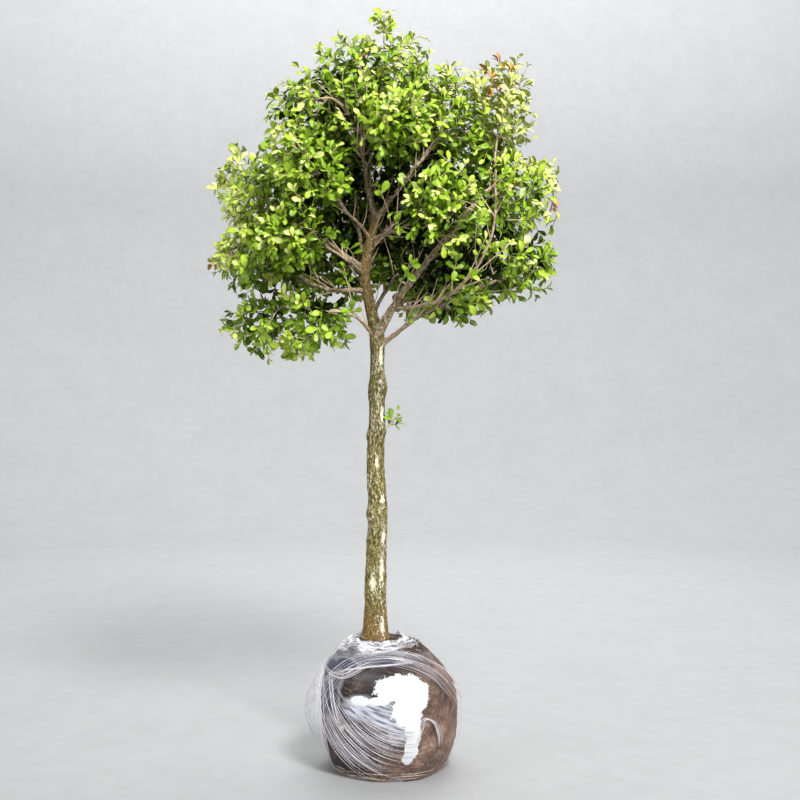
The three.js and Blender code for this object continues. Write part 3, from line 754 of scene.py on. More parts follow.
@dataclass(frozen=True)
class PlainFinish(Finish):
    """One mottled colour, for the floor, the twigs and the leaves, which have a pale rib and a dark edge of
    painted shade.
    """

    colour: Colour = (0.5, 0.5, 0.5)
    coat_rough: float = 0.3
    rib: Colour | None = None
    edge: Colour | None = None

    def material(self) -> Material:
        """The material, with its colour mottled in the object's own space."""
        material, sheet, shader = self.start()
        colour = rgba(self.colour)
        if self.rib is not None:
            # The leaf's dark edge is painted shade between the leaves.
            stops = [(0.0, self.edge), (0.4, self.colour), (0.7, self.colour), (1.0, self.rib)]
            colour = sheet.ramp(sheet.attribute("rib"), stops)
        self.mottled(sheet, shader, colour, sheet.node("ShaderNodeTexCoord").outputs["Object"])
        return material


# The studio.


@dataclass
class Studio:
    """A pale floor that rises into a round wall, soft lamps and the camera, in metres but for the floor."""

    flat: float = 2700.0
    wall: float = 4300.0
    tall: float = 4200.0
    hole: float = 60.0
    thick: float = 60.0
    lamps: tuple[tuple[str, Triple, Triple, float, float], ...] = (
        ("key", (0.85, -1.8, 2.4), (0.0, 0.0, 0.6), 0.7, 100.0),
        ("fill", (-2.8, -1.1, 1.6), (0.0, 0.0, 0.7), 2.0, 26.0),
        ("rear", (0.6, 2.3, 2.4), (0.0, 0.0, 0.7), 1.6, 22.0),
        ("wall", (0.0, 1.9, 3.9), (0.0, 4.3, 1.0), 3.2, 190.0),
    )
    sky_strength: float = 0.34
    camera_at: Triple = (0.02325, -1.7, 0.546)
    lens: float = 51.0

    def build(self) -> None:
        """Makes the floor, the lamps, the sky's light and the camera."""
        self.floor()
        for lamp in self.lamps:
            self.lamp(*lamp)
        self.sky()
        self.camera()

    def floor(self) -> None:
        """A closed bowl: a profile of (radius, height) with a quarter round below the wall, spun round +Z."""
        bend = self.wall - self.flat
        turns = np.linspace(0.0, math.pi / 2, 24)
        curve = [(self.flat + bend * math.sin(a), bend * (1 - math.cos(a))) for a in turns]
        back = self.wall + self.thick
        inside = [(self.hole, 0.0), (1200.0, 0.0), *curve, (self.wall, self.tall)]
        profile = np.array(inside + [(back, self.tall), (back, -self.thick), (self.hole, -self.thick)])
        rings = around(profile[:, :1], full_turn(96), profile[:, 1:])
        finish = PlainFinish("pale_floor", 0.75, 6.0, 0.03, colour=(0.375, 0.378, 0.382))
        thing = closed_rings(rings[:, ::-1]).piece("floor", finish.material())

    def lamp(self, name: str, at: Triple, aim: Triple, size: float, power: float) -> None:
        """Adds a square soft lamp that the camera doesn't see itself.

        Args:
            name: Its name.
            at: Where it is.
            aim: The point that it faces.
            size: The length of its side.
            power: Its power in watts.
        """
        light = bpy.data.lights.new(name, "AREA")
        light.size = size
        light.energy = power
        thing = bpy.data.objects.new(name, light)
        thing.location = at
        away = np.array(at) - np.array(aim)
        flat = math.hypot(away[0], away[1])
        thing.rotation_euler = (math.atan2(flat, away[2]), 0.0, math.atan2(away[1], away[0]) + math.pi / 2)
        thing.visible_camera = False
        bpy.context.scene.collection.objects.link(thing)

    def sky(self) -> None:
        """An even pale sky."""
        world = bpy.data.worlds.new("sky")
        world.use_nodes = True
        shader = world.node_tree.nodes["Background"]
        shader.inputs[0].default_value = rgba((1.0, 1.0, 1.0))
        shader.inputs[1].default_value = self.sky_strength
        bpy.context.scene.world = world

    def camera(self) -> None:
        """A level camera in front of the plant; one pixel of its 800 covers 1.5 mm at the trunk."""
        data = bpy.data.cameras.new("camera")
        data.sensor_width = 36.0
        data.lens = self.lens
        thing = bpy.data.objects.new("camera", data)
        thing.location = self.camera_at
        thing.rotation_euler = (math.pi / 2, 0.0, 0.0)
        bpy.context.scene.collection.objects.link(thing)
        bpy.context.scene.camera = thing
        bpy.context.scene.view_settings.view_transform = "Standard"


# The root ball and its film.


@dataclass
class RootBall:
    """The soil ball with its clods and crumbs, a pebble in it, and fine roots that lie on it."""

    ball: Ball = field(default_factory=Ball)
    columns: int = 240
    rows: int = 120
    disc_rows: int = 12
    clod_depth: float = 3.2
    shoulder: float = 14.0
    crumbs: int = 220
    roots: int = 90
    root_steps: int = 22
    pebble_at: Pair = (230.0, 74.0)
    pebble_size: Triple = (4.4, 3.2, 3.6)

    def soil(self) -> Surface:
        """The ball: rings of (r cos a, r sin a, z) with radius r(z), pushed in by clods, flat below.

        Returns:
            The closed surface, with the values clod, 0 in the hollows and 1 on the crumbs, and dryness, which
            grows downwards and to the right with slow noise.
        """
        ball = self.ball
        height = ball.height * (0.5 - 0.5 * np.cos(math.pi * np.linspace(0.0, 1.0, self.rows)))
        radius = np.maximum(ball.radius(height), ball.seat)
        inner = np.linspace(0.06, 0.94, self.disc_rows)
        radius = np.concatenate([radius[0] * inner, radius, ball.seat * inner[::-1]])[:, None]
        height = np.concatenate([0 * inner, height, 0 * inner + ball.height])[:, None]
        angle = full_turn(self.columns)[None, :]
        wide = radius * np.where(radius > ball.seat + 0.01, ball.swell(angle, height), 1.0)
        at = around(wide, angle, height)
        lumps = 0.5 + 0.5 * smooth_noise(at / 17.0, 3, 3)
        grains = np.abs(smooth_noise(at / 3.6, 8, 2))
        # clod is the clods' height: it sinks the hollows, and their near-black colour from it is painted
        # shade.
        clod = np.clip(0.75 * lumps + 0.55 * grains - 0.1, 0.0, 1.0)
        sunk = self.clod_depth * (1.0 - clod)
        top = step(ball.height - self.shoulder, ball.height, height)
        scale = 1.0 - step(0.0, 6.0, height) * (1.0 - top) * sunk / np.maximum(wide, 1.0)
        at = at * np.stack([scale, scale, np.ones_like(scale)], axis=-1)
        at[..., 2] -= top * sunk
        drier = 0.9 * at[..., 0] / 100.0 - 0.7 * (at[..., 2] - 90.0) / 100.0
        drier = drier + 0.5 * smooth_noise(at / 42.0, 12, 2)
        return closed_rings(at, {"clod": clod, "dryness": step(-0.25, 0.75, drier)})

    def on_ball(self, angle: Array, height: Array, off: float) -> Array:
        """Points at a distance off the smooth ball's side."""
        radius = np.maximum(self.ball.radius(height), self.ball.seat) * self.ball.swell(angle, height) + off
        return around(radius, angle, height)

    def root_hairs(self) -> Surface:
        """Thin roots: each wanders over the ball, its azimuth and height drifting by smooth noise."""
        k = np.arange(self.roots)
        azimuth, height, course, reach, thick = (dealt(k, seed)[:, None] for seed in (31, 32, 33, 34, 36))
        azimuth = 2 * math.pi * azimuth
        height = 14.0 + 158.0 * height
        t = np.linspace(0.0, 1.0, self.root_steps)
        wander = np.stack(np.broadcast_arrays(k[:, None], 2.4 * t, 0.5), axis=-1)
        bent = 2 * math.pi * course + 1.3 * smooth_noise(wander, 35)
        far = 14.0 + 34.0 * reach
        across, upward = (np.cumsum(way(bent), axis=1) * far / self.root_steps for way in (np.cos, np.sin))
        at = self.on_ball(azimuth + across / 100.0, np.clip(height + upward, 5.0, 183.0), -0.6)
        return tubes(at, (0.25 + 0.4 * thick) * (1.0 - 0.6 * t), 5)

    def loose_crumbs(self) -> Surface:
        """Crumbs of earth round the stem's foot: seven-sided lumps of three rings, squashed by noise."""
        k = np.arange(self.crumbs)
        out = 20.0 + 36.0 * np.sqrt(dealt(k, 42))
        size = 0.9 + 2.3 * dealt(k, 43) ** 3
        z = np.where(out > self.ball.seat, self.top_height(out), self.ball.height) - 1.2
        polar = np.radians([-60.0, 0.0, 55.0])[:, None]
        shape = around(np.cos(polar), full_turn(7), np.sin(polar))
        rings = shape[None] * size[:, None, None, None]
        rings = rings * (1.0 + 0.35 * smooth_noise(shape[None] * 1.7 + k[:, None, None, None], 44))[..., None]
        rings = rings + around(out, 2 * math.pi * dealt(k, 41), z)[:, None, None, :]
        even = np.ones(rings.shape[1:3])
        values = [{"clod": clod * even, "dryness": 0.3 * even} for clod in dealt(k, 45)]
        return Surface.joined([closed_rings(*crumb) for crumb in zip(rings, values)])

    def pebble(self) -> Surface:
        """A pale pebble in the soil at the front: an ellipsoid of nine rings, squashed by noise."""
        polar = np.radians(np.linspace(-80.0, 80.0, 9))[:, None]
        shape = around(np.cos(polar), full_turn(18), np.sin(polar))
        shape = shape * (1.0 + 0.25 * smooth_noise(shape * 1.4, 61))[..., None]
        middle = self.on_ball(np.radians(self.pebble_at[0]), np.array(self.pebble_at[1]), -1.9)
        return closed_rings(shape * np.array(self.pebble_size) + middle)

    def top_height(self, out: Array) -> Array:
        """Height of the ball's shoulder at a distance from its axis, by its rounded curve read backwards."""
        power = self.ball.squareness
        share = (1.0 - np.clip(out / self.ball.reach, 0.0, 1.0) ** power) ** (1.0 / power)
        return np.minimum(self.ball.waist + self.ball.above * share, self.ball.height)

    def build(self) -> None:
        """Makes the soil, the crumbs, the roots and the pebble, and dresses them."""
        earth = SoilFinish("moist_earth", 0.93, 260.0, 0.35, 0.7, 0.0012).material()
        root = PlainFinish("fine_roots", 0.85, 300.0, 0.25, 0.3, colour=(0.3, 0.17, 0.09)).material()
        stone = PlainFinish("pale_pebble", 0.6, 400.0, 0.3, 0.3, colour=(0.82, 0.72, 0.4)).material()
        soil = Surface.joined([self.soil(), self.loose_crumbs()]).piece("soil", earth)
        hairs = self.root_hairs().piece("root_hairs", root)
        for thing in (soil, hairs, self.pebble().piece("pebble", stone)):
            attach(thing, "root")
            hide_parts("root_ball")


@dataclass(frozen=True)
class Pocket:
    """A slack pocket of film that stands off the ball."""

    azimuth: float
    height: float
    width: float
    tall: float
    depth: float


@dataclass(frozen=True)
class Gather:
    """A knot of gathered film that creases fan out from, curling as they run."""

    azimuth: float
    height: float
    curl: float
    low: float
    high: float
    reach: float
    seed: int


@dataclass
class FilmWrap:
    """The clear film: a thin closed skin round the ball, creased in fans and frilled at its lip."""

    ball: Ball = field(default_factory=Ball)
    columns: int = 420
    rows: int = 170
    inner_rows: int = 40
    off: float = 0.9
    thick: float = 0.3
    foot: float = 1.5
    shoulder: float = 168.0
    lip: Pair = (37.0, 189.6)
    lean: float = -9.0
    # The painted glare's white patch on the front, as ovals.
    ovals: tuple[Oval, ...] = (
        (22, 136, 38, 18), (44, 124, 22, 24), (33, 104, 22, 22), (42, 80, 12, 32), (39, 50, 10, 16),
        (33, 37, 8, 9), (-34, 118, 15, 7.5), (-6, 119, 16, 6),
    )
    # The bluish streaks of the painted glare, a painted reflection, as ovals.
    glare_streaks: tuple[Oval, ...] = ((-30, 107, 37, 23), (2, 100, 34, 26), (20, 80, 20, 28))
    slates: tuple[Oval, ...] = ((-74, 148, 19, 26), (-79, 118, 19, 42), (-54, 162, 24, 12), (-12, 170, 44, 8))
    knot_at: Pair = (-85.0, 146.0)
    bend: float = 0.25
    fan_to: float = 44.0
    arcs: Pair = (99.0, 118.0)
    arcs_middle: Pair = (2.0, 66.0)
    folds: tuple[tuple[tuple[Pair, ...], int, float], ...] = (
        (((-72, 148), (-58, 158), (-36, 163), (0, 166), (40, 167)), 4, 0.7),
        (((-88, 152), (-76, 144), (-58, 142), (-50, 152), (-30, 162)), 4, 1.4),
        (((-92, 152), (-95, 120), (-93, 80), (-78, 18)), 4, 2.4),
        (((-78, 150), (-76, 118), (-68, 88), (-54, 64)), 3, 2.0),
        (((53, 90), (62, 98), (78, 92), (82, 66), (80, 50)), 5, 1.3),
        (((58, 93), (56, 80), (50, 66), (44, 56)), 4, 1.7),
    )
    strand_points: int = 12
    strand_sides: int = 5
    pockets: tuple[Pocket, ...] = (Pocket(184, 88, 34, 52, 22), Pocket(2, 92, 40, 60, 5))
    gathers: tuple[Gather, ...] = (
        Gather(207, 133, 0.25, -118, -52, 175, 61), Gather(207, 133, -0.12, -6, 38, 150, 62),
        Gather(38, 140, 0.22, -125, -48, 170, 63), Gather(38, 140, -0.1, -8, 34, 140, 64),
        Gather(110, 52, -0.2, 20, 96, 120, 65),
    )

    def __post_init__(self) -> None:
        """Seeds the strands and shares out the points along them."""
        self.random = np.random.default_rng(811)
        self.t = np.linspace(0.0, 1.0, self.strand_points)

    def some(self, low: float, high: float, count: int) -> Array:
        """A column of random numbers from low to high."""
        return self.random.uniform(low, high, (count, 1))

    def stray(self, span: float, count: int, columns: int = 1) -> Array:
        """Columns of random numbers about 0, of this standard deviation."""
        return self.random.normal(0.0, span, (count, columns))

    def profile(self, rows: int) -> tuple[Array, Array]:
        """Radius and height of the film at even steps from its foot to its lip.

        Args:
            rows: How many steps to give.

        Returns:
            Radii and heights. The film follows the soil up to the shoulder, then runs to its lip on a slack
            curve.
        """
        height = np.linspace(self.foot, self.shoulder, 300)
        side = np.stack([self.ball.radius(height) + self.off, height, 0 * height], axis=-1)
        way = unit(side[-1] - side[-2])
        lip = np.array([*self.lip, 0.0])
        over = bezier([side[-1], side[-1] + way * 13.0, lip + np.array([9.0, -1.5, 0.0]), lip], 60)
        line = Path(np.concatenate([side, over[1:]])).at(np.linspace(0.0, 1.0, rows))
        return line[:, 0], line[:, 1]

    def slack(self, angle: Array, height: Array) -> Array:
        """How far the pockets stand out: a bell over azimuth times a bell over height, for each."""
        total = np.zeros(np.broadcast(angle, height).shape)
        for pocket in self.pockets:
            turn = angle - math.radians(pocket.azimuth)
            off = np.degrees(np.abs(np.arctan2(np.sin(turn), np.cos(turn))))
            total += pocket.depth * bell(off, pocket.width) * bell(height - pocket.height, pocket.tall)
        return total

    def reach(self, angle: Array, height: Array) -> Array:
        """How far out the film's side lies: the ball's swollen radius with the pockets added."""
        plain = (self.ball.radius(height) + self.off) * self.ball.swell(angle, height)
        return plain + self.slack(angle, height)

    def creases(self, angle: Array, height: Array) -> Array:
        """Fans of creases from 0 to 1.

        Each gather is the middle of polar coordinates laid on the ball. Ridged noise of the polar angle less
        the curl times the distance gives creases that start at the gather and bend as they run. The fan fades
        out at its two edges and its reach.

        Args:
            angle: Azimuths, (n, m), in radians.
            height: Heights, (n, m).

        Returns:
            Their strength, (n, m).
        """
        total = np.zeros(angle.shape)
        for gather in self.gathers:
            turn = angle - math.radians(gather.azimuth)
            along = np.arctan2(np.sin(turn), np.cos(turn)) * self.ball.reach
            up = height - gather.height
            distance = np.hypot(along, up)
            polar = np.degrees(np.arctan2(up, along)) - gather.curl * distance
            drift = smooth_noise(np.stack([along / 40, up / 40, 0 * up], axis=-1), gather.seed + 20) * 3.0
            line = (polar + drift) * 0.36
            lines = np.stack([line, distance / 70, 0 * line + 0.5], axis=-1)
            ridge = np.abs(smooth_noise(lines, gather.seed))
            low, high = gather.low, gather.high
            fan = step(low, low + 16, polar) * (1.0 - step(high - 16, high, polar))
            run = step(3.0, 12.0, distance) * (1.0 - step(gather.reach * 0.6, gather.reach, distance))
            broken = smooth_noise(np.stack([line * 0.6, distance / 34, 0 * line], axis=-1), gather.seed + 9)
            strength = step(0.62, 0.98, 1.0 - ridge) * fan * run * (0.35 + 0.65 * step(-0.5, 0.3, broken))
            total = np.maximum(total, strength)
        return total

    @staticmethod
    def spots(at: Array, ovals: tuple[Oval, ...]) -> Array:
        """A union of ovals on the front: above 0 in them, growing to 1 at their middles."""
        x, y, z = at[..., 0], at[..., 1], at[..., 2]
        total = np.full(x.shape, -1.0)
        for cx, cz, rx, rz in ovals:
            total = np.maximum(total, 1.0 - np.hypot((x - cx) / rx, (z - cz) / rz))
        return np.where(y < -5.0, total, -1.0)

    def leaned(self, at: Array) -> Array:
        """Moves points round the lip sideways, towards the stem."""
        reach = np.hypot(at[..., 0], at[..., 1])
        at = at.copy()
        at[..., 0] += self.lean * step(82.0, 46.0, reach) * step(140.0, 165.0, at[..., 2])
        return at

    def on_film(self, x: Array, z: Array, side: float, off: float) -> Array:
        """Points a little off the film that a front view shows at (x, z), or a back view where side is 1.

        The azimuth is found by repeating radius(azimuth), y = side sqrt(radius^2 - x^2), azimuth(x, y).
        """
        y = side * 60.0 + 0 * x
        for _ in range(8):
            radius = self.reach(np.arctan2(y, x), z) + off
            y = 0.5 * y + 0.5 * side * np.sqrt(np.maximum(radius**2 - x**2, 1.0))
        return np.stack([x, y, z], axis=-1)

    def fan_lines(self, side: float, count: int, starts: float, runs: Pair) -> Array:
        """Strands of a twisted sheet: they set off downwards from the front gather and bend to the right.

        A number from 0 to 1 picks a strand: with it the start moves across the gather and the first angle
        grows. At a distance d from its start a strand's direction angle is its first angle plus bend times d.

        Args:
            side: -1 on the front and 1 on the back.
            count: How many.
            starts: How far from the gather they begin at most.
            runs: Their least and greatest length; each ends early at the fogged strip and at the foot.

        Returns:
            Their middle lines, (n, points, 3).
        """
        pick = (np.arange(count)[:, None] + self.random.random((count, 1))) / count
        first = -104.0 + 38.0 * pick + self.stray(0.5, count)
        wave = self.stray(1.1, count, 2)

        def place(distance: Array) -> tuple[Array, Array]:
            """Where the strands are in the front view at distances from their starts."""
            wander = wave[:, :1] * np.sin(distance / 11.0) + wave[:, 1:] * np.sin(distance / 23.0)
            polar = np.radians(first + self.bend * distance + wander * 30.0 / (30.0 + distance))
            x = self.knot_at[0] - 11.0 + 26.0 * pick + distance * np.cos(polar)
            return x, self.knot_at[1] + 4.0 * pick + distance * np.sin(polar)

        far = np.linspace(0.0, 200.0, 101)[None, :]
        x, z = place(far)
        limit = np.max(np.where((x < self.fan_to) & (z > 5.0), far, 0.0), axis=1, keepdims=True)
        start = 3.0 + starts * self.random.random((count, 1)) ** 0.45
        end = np.minimum(start + self.some(*runs, count), limit)
        kept = (end - start)[:, 0] > 8.0
        x, z = place(start + (end - start) * self.t)
        return self.on_film(-side * x[kept], np.maximum(z[kept], 3.0), side, 1.2)

    def arc_lines(self, side: float, count: int) -> Array:
        """Strands over the shoulder: arcs of circles round one middle."""
        share = self.random.random((count, 1))
        inner, outer = self.arcs
        reach = inner + (outer - inner) * share + self.stray(0.4, count) * np.sin(9 * self.t)
        first = self.some(18.0, 140.0, count)
        angle = np.radians(np.minimum(first + self.some(14.0, 60.0, count) * self.t, 162.0))
        x = self.arcs_middle[0] + reach * np.cos(angle) * (1.0 + 0.06 * np.cos(angle))
        return self.on_film(-side * x, self.arcs_middle[1] + reach * np.sin(angle), side, 1.2)

    def fold_lines(self) -> Array:
        """The bright folds seen on the front, each a few strands side by side through the same points."""
        lines = []
        for fold, strands, spread in self.folds:
            for k in range(strands):
                line = Path(bezier([np.array([x, z, 0.0]) for x, z in fold], 60)).at(self.t)
                drift = self.random.normal(0.0, spread, 2) + spread * 0.5 * np.sin(5 * self.t + k)[:, None]
                lines.append(self.on_film(line[:, 0] + drift[:, 0], line[:, 1] + drift[:, 1], -1.0, 1.4))
        return np.array(lines)

    def rim_lines(self, count: int) -> Array:
        """Loose threads along the ball's foot."""
        angle = self.some(0.0, 2 * math.pi, count) + self.some(0.12, 0.6, count) * self.t
        z = np.maximum(self.some(3.0, 15.0, count) + self.stray(4.0, count) * self.t**2, 1.5)
        return around((self.ball.radius(z) + self.off) * self.ball.swell(angle, z) + 1.3, angle, z)

    def pocket_lines(self, count: int) -> Array:
        """Folds down the slack pocket on the left: the height falls evenly and the azimuth drifts."""
        z = np.maximum(self.some(125.0, 158.0, count) - self.some(60.0, 130.0, count) * self.t, 6.0)
        angle = np.radians(self.some(174.0, 202.0, count) + self.stray(5.0, count) * self.t)
        return around(self.reach(angle, z) + 1.2, angle, z)

    def lip_lines(self, count: int, tall: float) -> Array:
        """Crinkled strands on the film round the stem, mostly along its lip.

        Args:
            count: How many.
            tall: How far their ends stand off the film at most.

        Returns:
            Their middle lines: the azimuth runs on evenly, and the radius drifts and wriggles by sines.
        """
        angle = self.some(0.0, 2 * math.pi, count) + self.some(-0.4, 0.4, count) * self.t
        radius = 37.0 + 25.0 * self.random.random((count, 1)) ** 1.3 + self.stray(7.0, count) * self.t
        radius = radius + self.some(0.2, 1.1, count) * np.sin(self.some(6.0, 14.0, count) * self.t)
        out, height = self.profile(120)
        z = np.interp(radius, out[::-1][:60], height[::-1][:60])
        return self.leaned(around(radius, angle, z + (0.9 + self.some(0.0, tall, count) * self.t)))

    def strands(self, lines: Array, thick: Pair) -> Surface:
        """Strands as tubes that thin out at both ends."""
        most = thick[0] + (thick[1] - thick[0]) * self.random.random((len(lines), 1)) ** 2.5
        return tubes(lines, most * np.sqrt(np.sin(math.pi * np.clip(self.t, 0.03, 0.97))), self.strand_sides)

    def skin(self) -> Surface:
        """The film's two sides and its two rims.

        Returns:
            A closed surface with the values cloud, the film's own opacity; patch and the streaks' value,
            where the painted glare's white patch and its bluish streaks of painted reflection lie; and slate.
            The outer side is (r cos a, r sin a, z) along the profile, with the pockets added to r, and the
            creases, wrinkles and frills added along the profile's normal. The inner side is the same without
            relief, the film's thickness further in.
        """
        radius, height = (line[:, None] for line in self.profile(self.rows))
        share = np.linspace(0.0, 1.0, self.rows)[:, None]
        angle = full_turn(self.columns)[None, :]
        way = unit(np.concatenate([np.gradient(radius, axis=0), np.gradient(height, axis=0)], axis=1))
        out, rise = way[:, 1:], -way[:, :1]
        z, turned = height + 0 * angle, angle + 0 * height
        creased = self.creases(turned, z)
        band = smooth_noise(around(3.0, turned, z / 4.2), 51, 2)
        lap = smooth_noise(around(1.3, turned, z / 26.0), 52, 2)
        wave = smooth_noise(around(5.2, turned, share * 3), 53, 2)
        frill, hem = step(0.86, 1.0, share), step(0.07, 0.0, share)
        relief = 0.8 * creased + 0.35 * np.abs(band)
        relief = relief + 3.4 * frill * (0.3 + np.abs(wave)) + 1.4 * hem * (0.5 + np.abs(wave))
        slack = self.slack(turned, z)
        plain = radius * self.ball.swell(turned, z) + slack
        torn = 2.6 * frill**3 * smooth_noise(around(4.0, turned, 0.0), 54, 3)
        outer = around(plain + out * relief, turned, z + rise * relief + torn)
        outer[..., 2] = np.maximum(outer[..., 2], 0.4)
        outer = self.leaned(outer)
        # The painted glare: its white patch and its bluish streaks of painted reflection, from ovals on the
        # front.
        patch = self.spots(outer, self.ovals)
        milk = step(0.0, 0.5, self.spots(outer, self.glare_streaks))
        slate = step(0.0, 0.45, self.spots(outer, self.slates))

        upper = step(160.0, 174.0, z) * (0.6 + 0.4 * step(-0.35, 0.35, lap))
        cloud = 0.004 + 0.008 * step(-0.2, 0.7, lap) + 0.09 * upper
        cloud = cloud + 0.16 * step(5.0, 18.0, slack) * step(-0.5, 0.4, band)
        cloud += 0.05 * creased * (0.5 + 0.5 * step(-0.6, 0.4, band)) + 0.012 * np.abs(band)
        ruffle = smooth_noise(around(4.2, turned, share * 85.0 + 2.0 * np.sin(3 * turned)), 55, 2)
        parted = bell(np.degrees(turned) - 318.0, 20.0) + bell(np.degrees(turned) - 226.0, 12.0)
        parted = np.clip(parted, 0.0, 0.9) * step(0.84, 0.88, share) * (1.0 - step(0.95, 0.98, share))
        round_stem = step(66.0, 54.0, np.hypot(outer[..., 0] - self.lean, outer[..., 1]))
        cloud += 0.8 * step(0.78, 0.9, share) * step(-0.15, 0.2, ruffle) * (1.0 - parted) * round_stem
        cloud += 0.2 * hem * step(0.0, 0.5, wave)
        cloud = np.clip(np.maximum(cloud, (0.7 + 0.2 * step(-0.3, 0.3, band)) * slate), 0.0, 0.95)

        pick = np.linspace(0, self.rows - 1, self.inner_rows).round().astype(int)
        inner = self.leaned(around((plain - self.thick)[pick], turned[pick], z[pick]))
        for end in (0, -1):
            inner[end] = outer[end] - around(1.0, angle[0], 0.0) * self.thick
        count = self.rows * self.columns
        side = np.arange(self.columns)
        after = (side + 1) % self.columns
        top, under = count - self.columns, count + (self.inner_rows - 1) * self.columns
        quads = [
            ring_quads(self.rows, self.columns),
            ring_quads(self.inner_rows, self.columns)[:, ::-1] + count,
            np.stack([side, count + side, count + after, after], axis=-1),
            np.stack([top + side, top + after, under + after, under + side], axis=-1),
        ]
        none = np.zeros(inner.shape[:2])
        sides = {"cloud": (cloud, 0.35 * cloud[pick]), "patch": (patch, none - 1.0)}
        sides |= {"milk": (milk, none), "slate": (slate, none)}
        values = {key: np.concatenate([side.ravel() for side in both]) for key, both in sides.items()}
        points = np.concatenate([outer.reshape(-1, 3), inner.reshape(-1, 3)])
        return Surface(points, np.concatenate(quads), values=values)

    def build(self) -> None:
        """Makes the film, its rolled creases and the loose threads, and dresses them."""
        finish = FilmFinish(
            "clear_film", 0.22, 420.0, bump=0.35, bump_depth=0.0006, specular=0.6, coat=0.6, coat_rough=0.08
        )
        pale = (0.79, 0.755, 0.8)
        crease = PlainFinish("film_crease", 0.2, 300.0, 0.1, colour=pale, coat=0.5, coat_rough=0.1)
        thread = PlainFinish("loose_thread", 0.7, 300.0, 0.3, colour=(0.66, 0.6, 0.47))
        both = (-1.0, 1.0)
        rolled = [self.strands(self.fan_lines(side, 46, 80.0, (60.0, 130.0)), (0.24, 0.6)) for side in both]
        rolled += [self.strands(self.fan_lines(side, 104, 120.0, (15.0, 60.0)), (0.1, 0.26)) for side in both]
        rolled += [self.strands(self.arc_lines(side, 90), (0.12, 0.42)) for side in both]
        rolled.append(self.strands(self.fold_lines(), (0.32, 0.7)))
        rolled.append(self.strands(self.lip_lines(240, 1.5), (0.2, 0.75)))
        rolled.append(self.strands(self.pocket_lines(16), (0.12, 0.4)))
        loose = [self.strands(self.rim_lines(70), (0.2, 0.55))]
        loose.append(self.strands(self.lip_lines(50, 5.0), (0.2, 0.5)))
        made = (
            self.skin().piece("film", finish.material()),
            Surface.joined(rolled).piece("film_creases", crease.material()),
            Surface.joined(loose).piece("loose_threads", thread.material()),
        )
        for thing in made:
            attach(thing, "root")
            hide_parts("film_wrap")


# The trunk and the boughs.


@dataclass
class Limb:
    """A limb's middle line, and its radius at shares of its length."""

    path: Path
    first: float
    last: float
    collar: float

    def radius(self, share: Array) -> Array:
        """A straight taper, and a collar at the foot that fades over three radii."""
        fade = np.exp(-share * self.path.length / (3 * self.first))
        return self.first + (self.last - self.first) * share + self.collar * fade


@dataclass(frozen=True)
class Peel:
    """A tall patch of the trunk where much of the bark has come off, by height, azimuth and half length."""

    height: float
    azimuth: float
    span: float


def bark_marks(
    grain: Array, size: Triple, flaked: float, seed: int, bare: float | Array = 0.0
) -> dict[str, Array]:
    """Plates of bark.

    Args:
        grain: The limb's surface as if the limb stood upright, (rings, sides, 3).
        size: Width, depth and length of a plate.
        flaked: How much of the bark has flaked off, from 0 to 1.
        seed: Picks another pattern.
        bare: How much likelier a plate has flaked off at each point.

    Returns:
        raised, the plates' relief from -1 to 1; plate, a plate's own number; crack, 1 in the cracks; and
        flake, 1 where a plate has come off and the pale inner bark shows.
    """
    bent = grain + 1.6 * np.stack([smooth_noise(grain / 7.0, seed + k, 2) for k in (1, 2, 3)], axis=-1)
    gap, own = plates((bent / np.array(size)).reshape(-1, 3), seed)
    gap, own = gap.reshape(grain.shape[:2]), own.reshape(grain.shape[:2])
    crack = (1.0 - step(0.02, 0.2, gap)) * (1.0 - step(0.3, 0.8, bare))
    zone = smooth_noise(grain / np.array([11.0, 11.0, 46.0]), seed + 5, 2)
    flake = step(1.0 - flaked, 1.02 - flaked, own + 0.38 * zone + bare) * (1.0 - crack)
    flake = flake * (0.6 + 0.4 * step(0.1, 0.4, bare))
    raised = (own - 0.5) * 1.1 - 0.9 * crack - 0.25 * flake
    return {"raised": raised, "plate": (own * 7.31) % 1.0, "crack": 0.8 * crack, "flake": flake}


